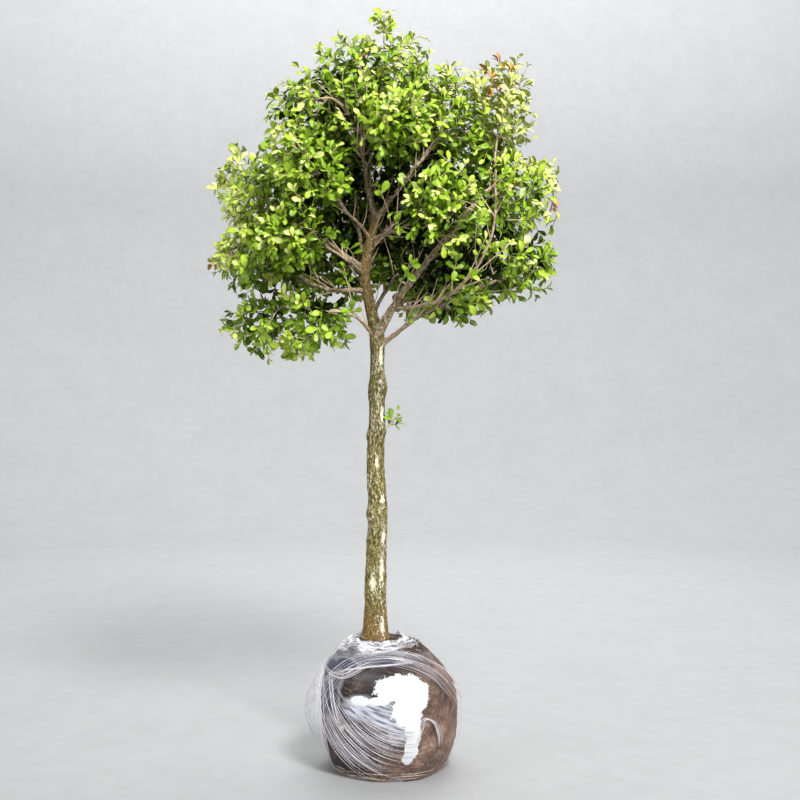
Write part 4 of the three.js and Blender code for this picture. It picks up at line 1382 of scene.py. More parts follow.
@dataclass
class Trunk:
    """The stem, from inside the soil to its top fork, with bark in plates."""

    foot: Triple = (-14.0, 0.0, 190.3)
    top: Triple = (-8.0, -8.0, 826.0)
    foot_radius: float = 17.0
    top_radius: float = 6.2
    taper: float = 1.2
    flare: Pair = (4.5, 16.0)
    bows: tuple[Bow, ...] = (
        Bow(375, 45, 2.5, -3), Bow(455, 42, -2, 2), Bow(600, 70, 0, -6), Bow(738, 68, -21, 4),
    )
    knots: tuple[Knot, ...] = (
        Knot(376, 180, 9, 3.6), Knot(494, 175, 8, 3.2), Knot(500, 10, 7, 2), Knot(561, 165, 13, 3.6),
        Knot(566, 0, 13, 3.4), Knot(640, -30, 20, 3),
    )
    sides: int = 120
    rings: int = 760
    buried: float = 5.0
    cap: float = 6.0
    plate: Triple = (1.8, 1.8, 6.4)
    relief: float = 0.75
    flaked: float = 0.14
    peel_turn: float = 16.0
    foot_stain: Pair = (205.0, 262.0)
    top_stain: Pair = (630.0, 720.0)
    # Heights of a painted shade under the crown: there the bark turns towards the crack colour.
    painted_shade: Oval = (420.0, 540.0, 600.0, 680.0)
    peeled: tuple[Peel, ...] = (
        Peel(613, -57, 15), Peel(523, -50, 15), Peel(452, -80, 15), Peel(400, -55, 11), Peel(343, -50, 13),
        Peel(291, -55, 26), Peel(272, -105, 13), Peel(208, -50, 18), Peel(560, 80, 22), Peel(330, 130, 26),
        Peel(430, 20, 20), Peel(240, 175, 20),
    )

    def middle(self, share: Array) -> Array:
        """The middle line: foot to top, each bow's pull a bell over the height, less near the foot."""
        line = np.asarray(self.foot) + (np.asarray(self.top) - np.asarray(self.foot)) * share[..., None]
        near = np.minimum(1.0, np.maximum(share, 0.0) * 8)
        height = line[..., 2].copy()
        for bow in self.bows:
            pull = bell(height - bow.height, bow.span) * near
            line[..., 0] += bow.x * pull
            line[..., 1] += bow.y * pull
        return line

    def radius(self, share: Array, angle: Array) -> Array:
        """Taper, flare and knots, each the squared cosine of the angle off it times a bell of height."""
        kept = np.clip(share, 0.0, 1.0)
        height = self.foot[2] + (self.top[2] - self.foot[2]) * kept
        total = self.foot_radius + (self.top_radius - self.foot_radius) * kept**self.taper
        total = total + self.flare[0] * np.exp((self.foot[2] - height) / self.flare[1])
        for knot in self.knots:
            facing = np.maximum(0.0, np.cos(angle - math.radians(knot.azimuth)))
            total = total + knot.size * facing**2 * bell(height - knot.height, knot.span)
        return total

    def path(self) -> Path:
        """The middle line by length."""
        return Path(self.middle(np.linspace(0.0, 1.0, 201)))

    def surface(self) -> Surface:
        """Level rings round the middle line, with the bark's plates raised between their cracks.

        Returns:
            The closed surface with the values plate, crack, which also carries a painted shade over a band of
            the upper trunk, flake, foot and grain. The last rings close in a rounded cap.
        """
        tall = self.top[2] - self.foot[2]
        share = np.linspace(-self.buried / tall, 1.0, self.rings)
        angle = full_turn(self.sides)
        middle = self.middle(share)
        left = (1.0 - share) * tall
        closing = np.sqrt(1.0 - np.clip(1.0 - left / self.cap, 0.0, 0.97) ** 2)
        radius = self.radius(share[:, None], angle[None, :]) * closing[:, None]
        height = middle[:, 2:] + 0 * angle
        grain = around(radius, angle, height)
        bare = 0.0 * radius
        for peel in self.peeled:
            off = np.degrees(np.abs(np.angle(np.exp(1j * (angle - math.radians(peel.azimuth))))))[None, :]
            bare = np.maximum(bare, bell(height - peel.height, peel.span) * bell(off, self.peel_turn))
        marks = bark_marks(grain, self.plate, self.flaked, 81, bare)
        radius = radius + self.relief * marks.pop("raised") + 0.6 * smooth_noise(grain / 16.0, 82, 2)
        rings = middle[:, None] + around(radius, angle, 0.0)
        blur = height + 14.0 * smooth_noise(grain / 12.0, 83)
        marks["foot"] = 0.75 * (1.0 - step(*self.foot_stain, blur)) + 0.6 * step(*self.top_stain, blur)
        # Painted shade under the crown: over a band of the upper trunk the bark turns towards the crack
        # colour.
        low, middle_low, middle_high, high = self.painted_shade
        painted_shade = 0.45 * step(low, middle_low, height) * step(high, middle_high, height)
        marks["crack"] = np.maximum(marks["crack"], painted_shade * (1.0 - marks["flake"]))
        marks["grain"] = rings * MM
        return closed_rings(rings, marks)


@dataclass
class Boughs:
    """Every bough, from its parent's middle to the tip that its mass of foliage grows on from."""

    trunk: Trunk
    handle: float = 0.36
    collar: float = 0.35
    slim: float = 0.8
    sides: int = 24
    every: float = 1.3
    node_every: float = 21.0
    plate: Triple = (2.1, 2.1, 8.0)
    flaked: float = 0.26
    limbs: dict[str, Limb] = field(default_factory=dict)

    def __post_init__(self) -> None:
        """Works out each bough's line from its parent's."""
        self.limbs["trunk"] = Limb(self.trunk.path(), self.trunk.foot_radius, self.trunk.top_radius, 0.0)
        for name, bough in BOUGHS.items():
            parent = self.limbs[bough.parent].path
            start = parent.at(bough.at)
            set_off = parent.tangent(1.0) if bough.goes_on else heading(*bough.leaves)
            end = np.array(bough.bend or np.array(MASSES[bough.mass].middle) + np.array(bough.enters))
            reach = np.linalg.norm(end - start) * self.handle
            line = bezier([start, start + set_off * reach, end - heading(*bough.comes_in) * reach, end], 201)
            first, last = bough.radius
            self.limbs[name] = Limb(Path(line), first, last, 0.0 if bough.goes_on else first * self.collar)

    def samples(self, every: float = 4.0) -> Array:
        """Points along every limb with its radius there, (n, 4), for keeping twigs and leaves clear."""
        found = []
        for name, limb in self.limbs.items():
            share = np.linspace(0.0, 1.0, int(limb.path.length / every) + 2)
            radius = self.trunk.radius(share, np.zeros(1)) if name == "trunk" else limb.radius(share)
            found.append(np.concatenate([limb.path.at(share), radius[:, None]], axis=1))
        return np.concatenate(found)

    def surface(self, name: str, seed: int) -> Surface:
        """One bough: rings square to its line, with fine plates, slight kinks and a swelling at every node.

        Args:
            name: The bough.
            seed: Picks its pattern.

        Returns:
            The closed surface with the values of the trunk's.
        """
        limb = self.limbs[name]
        share = np.linspace(0.0, 1.0, max(24, int(limb.path.length / self.every)))
        at, tangent = limb.path.at(share), limb.path.tangent(share)
        length = share * limb.path.length
        steady = np.cross(limb.path.tangent(0.0), limb.path.tangent(1.0)) + 1e-3 * np.array([1.0, 2.0, 3.0])
        steady = unit(steady)
        across = unit(steady - (tangent @ steady)[:, None] * tangent)
        beside = np.cross(tangent, across)
        settled = step(6.0, 40.0, length) * (1.0 - step(0.85, 1.0, share))
        for k, way in enumerate((across, beside)):
            sway = smooth_noise(np.stack([length / 19.0, 0 * length + k, 0 * length + seed], axis=-1), 91, 2)
            at = at + way * (settled * sway)[:, None]
        angle = full_turn(self.sides)
        nodes = np.abs((length / self.node_every + seed * 0.31) % 1.0 - 0.5) * self.node_every
        thin = self.slim if BOUGHS[name].goes_on else 1.0 - (1.0 - self.slim) * step(0.0, 0.22, share)
        radius = limb.radius(share) * thin + 0.45 * bell(nodes, 1.6) * step(8.0, 16.0, length)
        radius = radius[:, None] + 0 * angle
        grain = around(radius, angle, length[:, None])
        grain[..., 2] += 400.0 * seed
        marks = bark_marks(grain, self.plate, self.flaked, 92 + seed)
        raised = 0.09 * np.minimum(radius, 5.0) * marks.pop("raised")
        radius = radius + raised + 0.12 * smooth_noise(grain / 5.0, 94, 2)
        rings = at[:, None] + across[:, None] * (radius * np.cos(angle))[..., None]
        rings = rings + beside[:, None] * (radius * np.sin(angle))[..., None]
        return closed_rings(rings, marks | {"foot": 0 * radius, "grain": grain * MM})

    def build(self) -> None:
        """Makes the trunk and the boughs, and dresses them."""
        bark = BarkFinish("flaking_bark", 0.76, 700.0, 0.42, 0.6, 0.0005, 0.2).material()
        young = BarkFinish(
            "young_bark", 0.8, 700.0, 0.35, 0.4, 0.0003, 0.25,
            crack=(0.07, 0.048, 0.025),
            browns=((0.28, 0.2, 0.115), (0.46, 0.34, 0.2), (0.62, 0.48, 0.31), (0.37, 0.27, 0.16)),
            flake=(0.86, 0.76, 0.56),
        ).material()
        trunk = self.trunk.surface().piece("stem", bark)
        parts = [self.surface(name, k) for k, name in enumerate(BOUGHS)]
        boughs = Surface.joined(parts).piece("limbs", young)
        for thing, slot, nodes in ((trunk, "bark", ["trunk"]), (boughs, "young_bark", list(BOUGHS))):
            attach(thing, "root")
            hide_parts(*nodes)


# The crown.


class Tint(Enum):
    """The leaves' colours, from the shaded inner ones to the young and the rusted ones. But for the rusted
    ones they are darker and lighter copies of one green: painted shade, and painted light up to painted
    highlights on the palest.
    """

    SHADE = (0.004, 0.011, 0.001)
    DEEP = (0.06, 0.12, 0.002)
    MID = (0.16, 0.292, 0.004)
    BRIGHT = (0.285, 0.485, 0.012)
    LIME = (0.47, 0.66, 0.04)
    PALE = (0.73, 0.82, 0.21)
    RUST = (0.62, 0.27, 0.055)


# Shares of the sprays from the darkest painted shade to the brightest painted light, and a tint's gloss: its
# coat and specular level, less on the tints of painted shade.
SHARES = dict(zip(Tint, (0.1, 0.14, 0.25, 0.26, 0.18, 0.07)))
GLOSS = {Tint.SHADE: (0.0, 0.06), Tint.DEEP: (0.0, 0.1), Tint.MID: (0.03, 0.19), Tint.RUST: (0.0, 0.2)}
GLOSSY = (0.14, 0.34)


class Order(Enum):
    """How fine a twig is, from a mass's stem to the shoots that stick out of it or grow inside the crown."""

    STEM = 0
    SHOOT = 1
    FINE = 2
    STRAY = 3
    INNER = 4


@dataclass(frozen=True)
class Habit:
    """How twigs of one order grow: how many, how far out, and how they are leaved.

    `within` is the range of shares of the mass's reach that tips lie in, `bare` the share of a twig without
    leaves and `opening` how far the leaves open from it, in radians.
    """

    count: int
    within: Pair
    radius: Pair
    bare: float
    every: float
    opening: float
    clear: float = 4.0


HABITS = {
    Order.SHOOT: Habit(7, (0.336, 0.84), (1.15, 0.62), 0.35, 8.0, 1.0, 8.0),
    Order.FINE: Habit(132, (0.4, 1.22), (0.8, 0.42), 0.1, 7.8, 1.0),
    Order.STRAY: Habit(17, (0.98, 1.15), (0.75, 0.4), 0.15, 10.5, 0.85),
    Order.INNER: Habit(0, (0.0, 0.0), (0.95, 0.42), 0.52, 11.0, 1.0),
}


@dataclass
class Twig:
    """A twig: its middle line, how far from the mass's root it starts, its radii, its order and its tint."""

    path: Path
    start: float
    radius: Pair
    order: Order
    tint: Tint = Tint.MID

    def forks(self, share: Array) -> Array:
        """The forks that it offers, (n, 7): their places, the twig's direction and the way from the root."""
        walked = self.start + self.path.length * share
        return np.concatenate([self.path.at(share), self.path.tangent(share), walked[:, None]], axis=1)


class Bud(NamedTuple):
    """A place for a leaf: its pair's number from the tip, how its twig runs there, and how the leaf grows."""

    pair: int
    at: Array
    along: Array
    side: Array
    opening: float
    size: float
    tint: Tint


@dataclass
class Leaves:
    """Leaves: where each is rooted, the ways it points and faces, its length and its tint's number."""

    base: Array
    way: Array
    face: Array
    length: Array
    tint: Array

    def picked(self, which: Array) -> "Leaves":
        """Some of the leaves."""
        return Leaves(*(value[which] for value in vars(self).values()))


@dataclass
class Crown:
    """Twigs and leaves that grow on from the boughs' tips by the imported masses' rule, to finer twigs."""

    boughs: Boughs
    spread: Triple = (0.8191725134, 0.6710436067, 0.5497004779)
    reach: float = 0.88
    straight: float = 5.0
    tries: int = 900
    forks: tuple[float, ...] = (0.17, 0.34, 0.5, 0.66, 0.82)
    turn_cost: float = 0.9
    path_cost: float = 0.25
    overlap: float = 26.0
    room: float = 4.0
    air: float = 1.55
    ragged: float = 0.24
    ragged_size: float = 30.0
    closed: Pair = (0.74, 50.0)
    leaf: float = 18.5
    leaf_apart: float = 0.35
    eye: Triple = (23.0, -1786.0, 546.0)
    veil: float = 8.0
    bare: tuple[str, ...] = (
        "leader_bough", "right_leader", "left_bough", "left_twin", "left_arm", "right_main",
        "long_shoot_low", "long_shoot_high",
    )
    frontal: float = 3.4
    upward: float = 0.35
    scatter: float = 0.43
    inner_every: float = 10.5
    inner_length: Pair = (26.0, 112.0)
    bare_shoots: tuple[str, ...] = ("tuft_shoot", "long_shoot_high")
    inner_from: float = 0.72
    # The painted light and shade of the sprays: tips buried in the crown, inner twigs and the listed dull
    # places are painted darker, and tips further out, up, to the right and at the listed bright places
    # lighter.
    tube: float = 26.0
    deep: float = 5.0
    shaded: float = 0.5
    mixed: float = 0.23
    sunny: Triple = (0.13, 0.0, 0.2)
    lone_glow: Pair = (0.42, 1.3)
    glows: tuple[tuple[Triple, float, float], ...] = (
        ((190, 0, 985), 75, 1.4), ((-215, 0, 815), 85, 0.75), ((30, -30, 950), 65, 0.35),
        ((0, 60, 850), 70, 0.4), ((205, 0, 755), 65, -0.6), ((110, 0, 690), 70, -0.5),
        ((95, -100, 850), 60, -0.25), ((-110, -40, 955), 60, -0.2),
    )
    rusted: tuple[tuple[Triple, float], ...] = (
        ((172, -16, 1043), 36), ((104, -40, 1000), 12), ((-44, -40, 1045), 15), ((-258, 0, 752), 13),
    )
    most: int = 3300
    hull: Triple = (255.0, 200.0, 258.0)
    hull_middle: Triple = (-5.0, 25.0, 848.0)
    twigs: list[Twig] = field(default_factory=list)
    leaves: list[Leaves] = field(default_factory=list)

    def __post_init__(self) -> None:
        """Takes the limbs' samples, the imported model's box and the walls between the masses."""
        self.samples = self.boughs.samples()
        self.random = np.random.default_rng(2409)
        self.box = np.array(CAD_BOX) / MM + np.array([[-self.room], [self.room]])
        self.walls = {name: self.walls_of(name) for name in MASSES}

    @staticmethod
    def reach_along(mass: Mass, way: Array) -> float:
        """How far a mass reaches from its middle along a direction."""
        return 1.0 / float(np.linalg.norm(way / np.array(mass.size), mass.square))

    def walls_of(self, name: str) -> tuple[Array, Array]:
        """The flat walls between a mass and the others, set by how far the two reach towards each other.

        Fine twigs of neighbours grow into one another, so each goes past the wall by half the overlap.
        """
        mass = MASSES[name]
        middle = np.array(mass.middle, float)
        normals, offsets = [], []
        for other_name, other in MASSES.items():
            if other_name == name:
                continue
            between = np.array(other.middle) - middle
            normal = unit(between)
            own = self.reach_along(mass, normal)
            share = own / (own + self.reach_along(other, normal))
            normals.append(normal)
            offsets.append(middle @ normal + np.linalg.norm(between) * share + self.overlap / 2)
        return np.array(normals), np.array(offsets)

    def holds(self, name: str, points: Array, grown: float | Array = 1.0) -> Array:
        """Which points lie in a mass's space, `grown` times as far out, and clear of the small ones."""
        mass = MASSES[name]
        off = (points - np.array(mass.middle)) / np.array(mass.size)
        inside = np.linalg.norm(off, mass.square, axis=-1) < grown
        for other in MASSES.values():
            if other.small and not mass.small:
                off = (points - np.array(other.middle)) / np.array(other.size)
                inside &= np.linalg.norm(off, axis=-1) > self.air
        normals, offsets = self.walls[name]
        return inside & np.all(points @ normals.T < offsets, axis=-1) & self.boxed(points)

    def boxed(self, points: Array) -> Array:
        """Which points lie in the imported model's box, with a little room round it."""
        return np.all((points > self.box[0]) & (points < self.box[1]), axis=-1)

    def outness(self, at: Array) -> Array:
        """How far out points lie in the crown as a whole: 0 at its middle and 1 on an oval hull."""
        return np.linalg.norm((at - np.array(self.hull_middle)) / np.array(self.hull), axis=-1)

    def reach_at(self, points: Array) -> Array:
        """How far a mass's foliage reaches near some points, as a factor.

        Outside, smooth noise makes its outline uneven. Inside the crown and behind the limbs it goes on
        further, so that the masses close up there.
        """
        uneven = 1.02 - self.ragged * (0.5 + 0.5 * smooth_noise(points / self.ragged_size, 111, 2))
        closed = (self.outness(points) < self.closed[0]) & (points[:, 1] > self.closed[1])
        return np.where(closed, 1.25, uneven)

    def clear(self, points: Array, gap: float) -> Array:
        """Which points are further than a gap from every limb."""
        apart = np.linalg.norm(points[:, None] - self.samples[None, :, :3], axis=-1)
        return np.all(apart > self.samples[None, :, 3] + gap, axis=1)

    def veils(self, points: Array) -> Array:
        """Which points hide, seen from the front, one of the limbs that the crown shows bare.

        Both are carried from the eye to the stem's plane: eye + (point - eye) eye_y / (eye_y - y).
        Slow noise leaves some places covered.
        """
        eye, share = np.array(self.eye), np.linspace(0.05, 0.95, 24)
        lines = np.concatenate([self.boughs.limbs[name].path.at(share) for name in self.bare])
        near, far = (eye + (at - eye) * (eye[1] / (eye[1] - at[:, 1:2])) for at in (points, lines))
        apart = np.hypot(near[:, None, 0] - far[:, 0], near[:, None, 2] - far[:, 2])
        hidden = np.any((apart < self.veil) & (points[:, None, 1] < lines[:, 1] - 3.0), axis=1)
        return hidden & (smooth_noise(points / 45.0, 71) < 0.3)

    def spread_points(self, name: str, order: Order) -> Array:
        """Points of an even spread in a mass's space: three additive sequences, turned into a ball."""
        mass, (low, high) = MASSES[name], HABITS[order].within
        first = 1 + 1000 * order.value
        seed = list(MASSES).index(name) * 0.37
        u, v, w = ((seed + np.arange(first, first + self.tries) * every) % 1.0 for every in self.spread)
        out = (low + (high - low) * np.sqrt(w)) * (1.0 + 0.14 * (mass.square - 2.0))
        ball = around(out * np.sqrt(1.0 - (2 * u - 1) ** 2), 2 * math.pi * v, out * (2 * u - 1))
        return np.array(mass.middle) + ball * np.array(mass.size)

    def root_of(self, name: str) -> tuple[Array, Array, float]:
        """Where a mass is rooted, the way it sets off and its stem's radius there."""
        for bough_name, bough in BOUGHS.items():
            if bough.mass == name:
                limb = self.boughs.limbs[bough_name]
                return limb.path.at(1.0), limb.path.tangent(1.0), limb.last * self.boughs.slim
        trunk = self.boughs.trunk
        height = MASSES[name].middle[2] - 18.0
        share = (height - trunk.foot[2]) / (trunk.top[2] - trunk.foot[2])
        return trunk.middle(np.array([share]))[0], heading(0, 30), 1.6

    def cheapest(self, forks: Array, point: Array) -> Array:
        """The fork that costs a new twig least: its distance, more for a sharp turn, and its way to the root.

        Args:
            forks: Every fork so far, (n, 7).
            point: The new twig's tip.

        Returns:
            The row of the best fork.
        """
        way = point - forks[:, :3]
        distance = np.linalg.norm(way, axis=1)
        bent = 1.0 - np.sum(way * forks[:, 3:6], axis=1) / np.maximum(distance, 1e-6)
        cost = distance * (1.0 + self.turn_cost * bent) + self.path_cost * forks[:, 6]
        return forks[np.argmin(cost)]

    def tips(self, name: str, order: Order, start: Array) -> Array:
        """The tips that a mass's twigs of one order grow to, the nearest to its root first."""
        mass, habit = MASSES[name], HABITS[order]
        count = mass.fine if mass.fine and order is Order.FINE else habit.count
        if mass.small:
            count = {Order.SHOOT: mass.fine // 5, Order.FINE: mass.fine}.get(order, 0)
        points = self.spread_points(name, order)
        grown = self.reach_at(points) * mass.full if order is Order.FINE else mass.most
        points = points[self.holds(name, points, grown)]
        points = points[self.clear(points, habit.clear)][:count]
        return points[np.argsort(np.linalg.norm(points - start, axis=1))]

    def grow(self, name: str) -> list[Twig]:
        """The stem of a mass, its first side shoots, the finer ones that fork from them, and stray ones.

        Args:
            name: The mass.

        Returns:
            Its twigs, the stem first.
        """
        mass, share = MASSES[name], np.array(self.forks)
        middle, lead = np.array(mass.middle, float), unit(np.array(mass.lead, float))
        start, set_off, foot = self.root_of(name)
        far = middle + lead * self.reach_along(mass, lead) * self.reach
        bend = start + set_off * np.linalg.norm(far - start) * 0.3
        curve = bezier([start + set_off * self.straight, bend, middle + (far - middle) * 0.25, far], 14)
        line = Path(np.concatenate([(start - set_off * 1.5)[None], curve]))
        twigs = [Twig(line, 0.0, (foot, 0.75), Order.STEM)]
        forks = twigs[0].forks(share)
        for order in (Order.SHOOT, Order.FINE, Order.STRAY):
            for point in self.tips(name, order, start):
                row = self.cheapest(forks, point)
                pulled = row[:3] + row[3:6] * float(np.linalg.norm(point - row[:3])) * 0.15
                path = Path(bezier([row[:3], pulled + (point - pulled) * 0.35, point], 7))
                tested = path.at(np.linspace(0.15, 1.0, 8))
                if np.all(self.holds(name, tested, mass.most)) and np.all(self.clear(tested, 1.6)):
                    twigs.append(Twig(path, float(row[6]), HABITS[order].radius, order))
                    forks = np.concatenate([forks, twigs[-1].forks(share)])
        return twigs

    def grow_inside(self) -> list[Twig]:
        """Thin straight shoots on the boughs and the upper trunk, out and up into the crown's middle.

        Returns:
            Twigs that leave their limb about every `inner_every` millimetres, each turned on from the last by
            about a golden angle round the limb.
        """
        twigs = []
        radius, (short, long) = HABITS[Order.INNER].radius, self.inner_length
        for k, name in enumerate(["trunk", *BOUGHS]):
            limb = self.boughs.limbs[name]
            low = self.inner_from if name == "trunk" else 0.14
            high = 0.4 if name in self.bare_shoots else 0.97
            marks = np.cumsum(self.inner_every * self.random.uniform(0.25, 1.75, 60)) / limb.path.length + low
            for j, share in enumerate(marks[marks < high]):
                at, along = limb.path.at(share), limb.path.tangent(share)
                side = unit(np.cross(along, UP) + 1e-3)
                turn = 2.4 * j + k + self.random.normal(0.0, 0.5)
                side = side * math.cos(turn) + np.cross(along, side) * math.sin(turn)
                way = along * self.random.uniform(0.5, 1.4) + side * 0.7 + UP * 0.35
                way = unit(way + self.random.normal(0.0, 0.22, 3))
                length = short + (long - short) * self.random.random() ** 1.3
                sag = self.random.normal(0.0, 0.08, 3) * length
                end = at + way * length + UP * 0.06 * length
                path = Path(bezier([at, at + way * length * 0.5 + sag, end], 7))
                tested = path.at(np.linspace(0.3, 1.0, 8))
                if np.all(self.clear(tested, 1.2)) and np.all(self.boxed(tested)):
                    twigs.append(Twig(path, share * limb.path.length, radius, Order.INNER))
        return twigs

    def buried(self, tips: Array) -> Array:
        """How many other tips lie further out than each one, in a round tube out from the crown's middle."""
        count = np.zeros(len(tips))
        for k, (tip, way) in enumerate(zip(tips, unit(tips - CROWN_MIDDLE))):
            off = tips - tip
            ahead = off @ way
            count[k] = np.sum((ahead > 4.0) & (np.sum(off**2, axis=1) - ahead**2 < self.tube**2))
        return count

    def deal_tints(self, grown: dict[str, list[Twig]]) -> None:
        """Deals the tints out by spray: each takes its share of them, from the dullest to the brightest.

        The tints paint light and shade: a spray gets a brighter one the less it is buried, the further out,
        up and to the right it lies and near the bright places, and a darker one on the inner twigs and near
        the dull places.

        Args:
            grown: The twigs of each mass by its name, and those inside the crown by an empty name.
        """
        twigs = [twig for sprays in grown.values() for twig in sprays]
        small = {name: bool(name) and MASSES[name].small for name in grown}
        alone = np.array([small[name] for name, sprays in grown.items() for _ in sprays])
        tips = np.array([twig.path.at(1.0) for twig in twigs])
        place = (tips - np.array(self.hull_middle)) / np.array(self.hull)
        glow = np.exp(-self.buried(tips) / self.deep) + 0.25 * self.outness(tips)
        glow += place @ np.array(self.sunny)
        glow -= self.shaded * np.array([twig.order is Order.INNER for twig in twigs])
        for spot, span, amount in self.glows:
            glow += amount * bell(np.linalg.norm(tips - np.array(spot), axis=1), span)
        glow += self.random.normal(0.0, self.mixed, len(twigs))
        low, high = self.lone_glow
        glow = np.where(alone, np.where(tips[:, 2] > self.hull_middle[2], high, low), glow)
        limits = np.cumsum(list(SHARES.values())) * len(twigs)
        for rank, k in enumerate(np.argsort(glow)):
            twigs[k].tint = list(SHARES)[min(int(np.searchsorted(limits, rank)), len(SHARES) - 1)]
        for twig, tip in zip(twigs, tips):
            rust = max(float(bell(np.linalg.norm(tip - np.array(spot)), span)) for spot, span in self.rusted)
            if self.random.random() < 0.001 + 0.75 * rust:
                twig.tint = Tint.RUST

    def shifted(self, tint: Tint, pair: int) -> Tint:
        """A leaf's own tint: its spray's, a step brighter at some tips and a step darker on some old ones."""
        order = list(SHARES)
        if tint not in order or self.random.random() < 0.5:
            return tint
        by = 1 if pair <= 1 else -1 if pair >= 4 else 0
        return order[min(max(order.index(tint) + by, 0), len(order) - 1)]

    def buds(self, twig: Twig, small: bool) -> list[Bud]:
        """A twig's places for leaves: opposite pairs, each a quarter turn from the last, and one at the tip.

        Args:
            twig: The twig.
            small: Whether its mass is a small one, with its leaves closer together.

        Returns:
            The buds, from the tip down.
        """
        habit = HABITS.get(twig.order, HABITS[Order.SHOOT])
        length = twig.path.length
        every = habit.every * (0.75 if small else 1.0)
        bare = max(habit.bare, 0.6) if twig.tint is Tint.RUST else habit.bare
        count = max(1, int(length * (1.0 - bare) / every))
        spin = self.random.uniform(0.0, math.pi)
        found = []
        for pair in range(count + 1):
            back = 0.5 if pair == 0 else (3.0 + (pair - 1) * every)
            share = max(0.05, 1.0 - back / length)
            at, along = twig.path.at(share), twig.path.tangent(share)
            side = unit(np.cross(along, UP))
            turn = spin + pair * math.pi / 2 + self.random.normal(0.0, 0.2)
            side = side * math.cos(turn) + np.cross(along, side) * math.sin(turn)
            opening = 0.35 if pair == 0 else habit.opening * (0.75 if pair == 1 else 1.0)
            size = {0: 0.62, 1: 0.84}.get(pair, 1.0)
            for way in (1.0, -1.0):
                tint, bent = self.shifted(twig.tint, pair), opening * self.random.uniform(0.8, 1.2)
                found.append(Bud(pair, at, along, side * way, bent, size, tint))
        return found

    def leaf_out(self, twigs: list[Twig], name: str = "") -> None:
        """Grows leaves on twigs, the outermost first, but none that crowd another, or touch or veil a limb.

        Args:
            twigs: The twigs.
            name: The mass whose space the leaves keep to, if any.
        """
        small = bool(name) and MASSES[name].small
        buds = [bud for twig in twigs for bud in self.buds(twig, small)]
        buds.sort(key=lambda bud: bud.pair)
        at, along, side = (np.array([bud[k] for bud in buds]) for k in (1, 2, 3))
        opening, size = (np.array([bud[k] for bud in buds])[:, None] for k in (4, 5))
        tint = np.array([list(Tint).index(bud.tint) for bud in buds])
        way = along * np.cos(opening) + side * np.sin(opening)
        light = unit((at - CROWN_MIDDLE) * np.array([1.0, self.frontal, 1.0])) + UP * self.upward
        if small:
            light = np.tile(unit(np.array([0.25, -0.8, 0.5])), (len(buds), 1))
        light = light + self.random.normal(0.0, self.scatter, at.shape)
        face = unit(light - way * np.sum(light * way, axis=1, keepdims=True))
        length = self.leaf * size * (1.05 if small else 1.0) * self.random.uniform(0.72, 1.2, size.shape)
        tip, middle, across = at + way * length, at + way * length * 0.55, np.cross(face, way) * length * 0.28
        fits = self.clear(middle, 1.5) & self.clear(tip, 1.0) & ~(self.veils(middle) | self.veils(tip))
        for corner in (middle, tip, middle + across, middle - across):
            fits &= self.clear(corner, 0.8) & self.boxed(corner)
            if name:
                fits &= self.holds(name, corner, MASSES[name].most)
        kept = np.zeros(0, int)
        for k in np.flatnonzero(fits):
            apart = np.min(np.sum((middle[kept] - middle[k]) ** 2, axis=1), initial=np.inf)
            if apart >= (self.leaf_apart * length[k, 0]) ** 2:
                kept = np.append(kept, k)
        self.leaves.append(Leaves(at, way, face, length[:, 0], tint).picked(kept))

    @staticmethod
    def blade() -> Surface:
        """A leaf one unit long: an oval blade on a short stalk, widest past its middle, folded along its rib.

        Returns:
            A closed lens. Its half width is a power of a sine up to the widest place and a quarter ellipse
            beyond it; its height is a V across, a bow along and a droop towards the tip. The value rib is 1
            along the middle and 0 along the edge.
        """
        t, s = np.array([0.0, 0.25, 0.6, 0.87]), np.array([-1.0, -0.55, 0.0, 0.55, 1.0])
        stalk, widest, half = 0.04, 0.6, 0.275
        rise = np.sin(math.pi / 2 * np.clip((t - stalk) / (widest - stalk), 0.0, 1.0)) ** 1.2
        fall = np.sqrt(1.0 - np.clip((t - widest) / (1.0 - widest), 0.0, 1.0) ** 2)
        width = np.maximum(half * rise * fall, 0.018)[:, None]
        droop = 0.16 * t**2 - 0.05 * np.sin(math.pi * t)
        lift = 0.2 * np.abs(s) * width * 2 - 0.16 * np.abs(s) ** 3 * width * 2 * t[:, None]
        top = np.stack([t[:, None] + 0 * s, s * width, lift - droop[:, None] + 0.004], axis=-1)
        under = np.stack([t, 0 * t, -droop - 0.024], axis=-1)[:, None]
        points = np.concatenate([top, under], axis=1).reshape(-1, 3)
        rows, corners = len(t), len(s) + 1
        quads = ring_quads(rows, corners)[:, [0, 3, 2, 1]]
        side, last = np.arange(corners), (rows - 1) * corners
        cap = np.stack([last + side, np.full(corners, rows * corners), last + (side + 1) % corners], axis=-1)
        foot = np.array([[k, k + 1, corners - 1] for k in range(corners - 2)])
        rib = np.append(np.tile([0.0, 0.5, 1.0, 0.5, 0.0, 0.3], rows), 0.1)
        tip = np.array([[1.0, 0.0, -0.16]])
        return Surface(np.concatenate([points, tip]), quads, np.concatenate([cap, foot]), {"rib": rib})

    def leaf_surface(self, leaves: Leaves, numbers: Array) -> Surface:
        """Leaves as one surface: the blade turned, scaled and bent for each of them in one product.

        Args:
            leaves: The leaves.
            numbers: Their numbers among all leaves, which deal out their breadth and curl.

        Returns:
            The joined surface.
        """
        blade = self.blade()
        broad = (0.84 + 0.32 * dealt(numbers, 101))[:, None]
        curl = (0.3 + 1.6 * dealt(numbers, 102))[:, None]
        x, y, z = (blade.points[:, k][None, :] for k in range(3))
        local = np.stack([x + 0 * broad, y * broad, z * curl], axis=-1) * leaves.length[:, None, None]
        axes = np.stack([leaves.way, np.cross(leaves.face, leaves.way), leaves.face], axis=1)
        return blade.repeated(leaves.base[:, None] + np.einsum("nvk,nkc->nvc", local, axes))

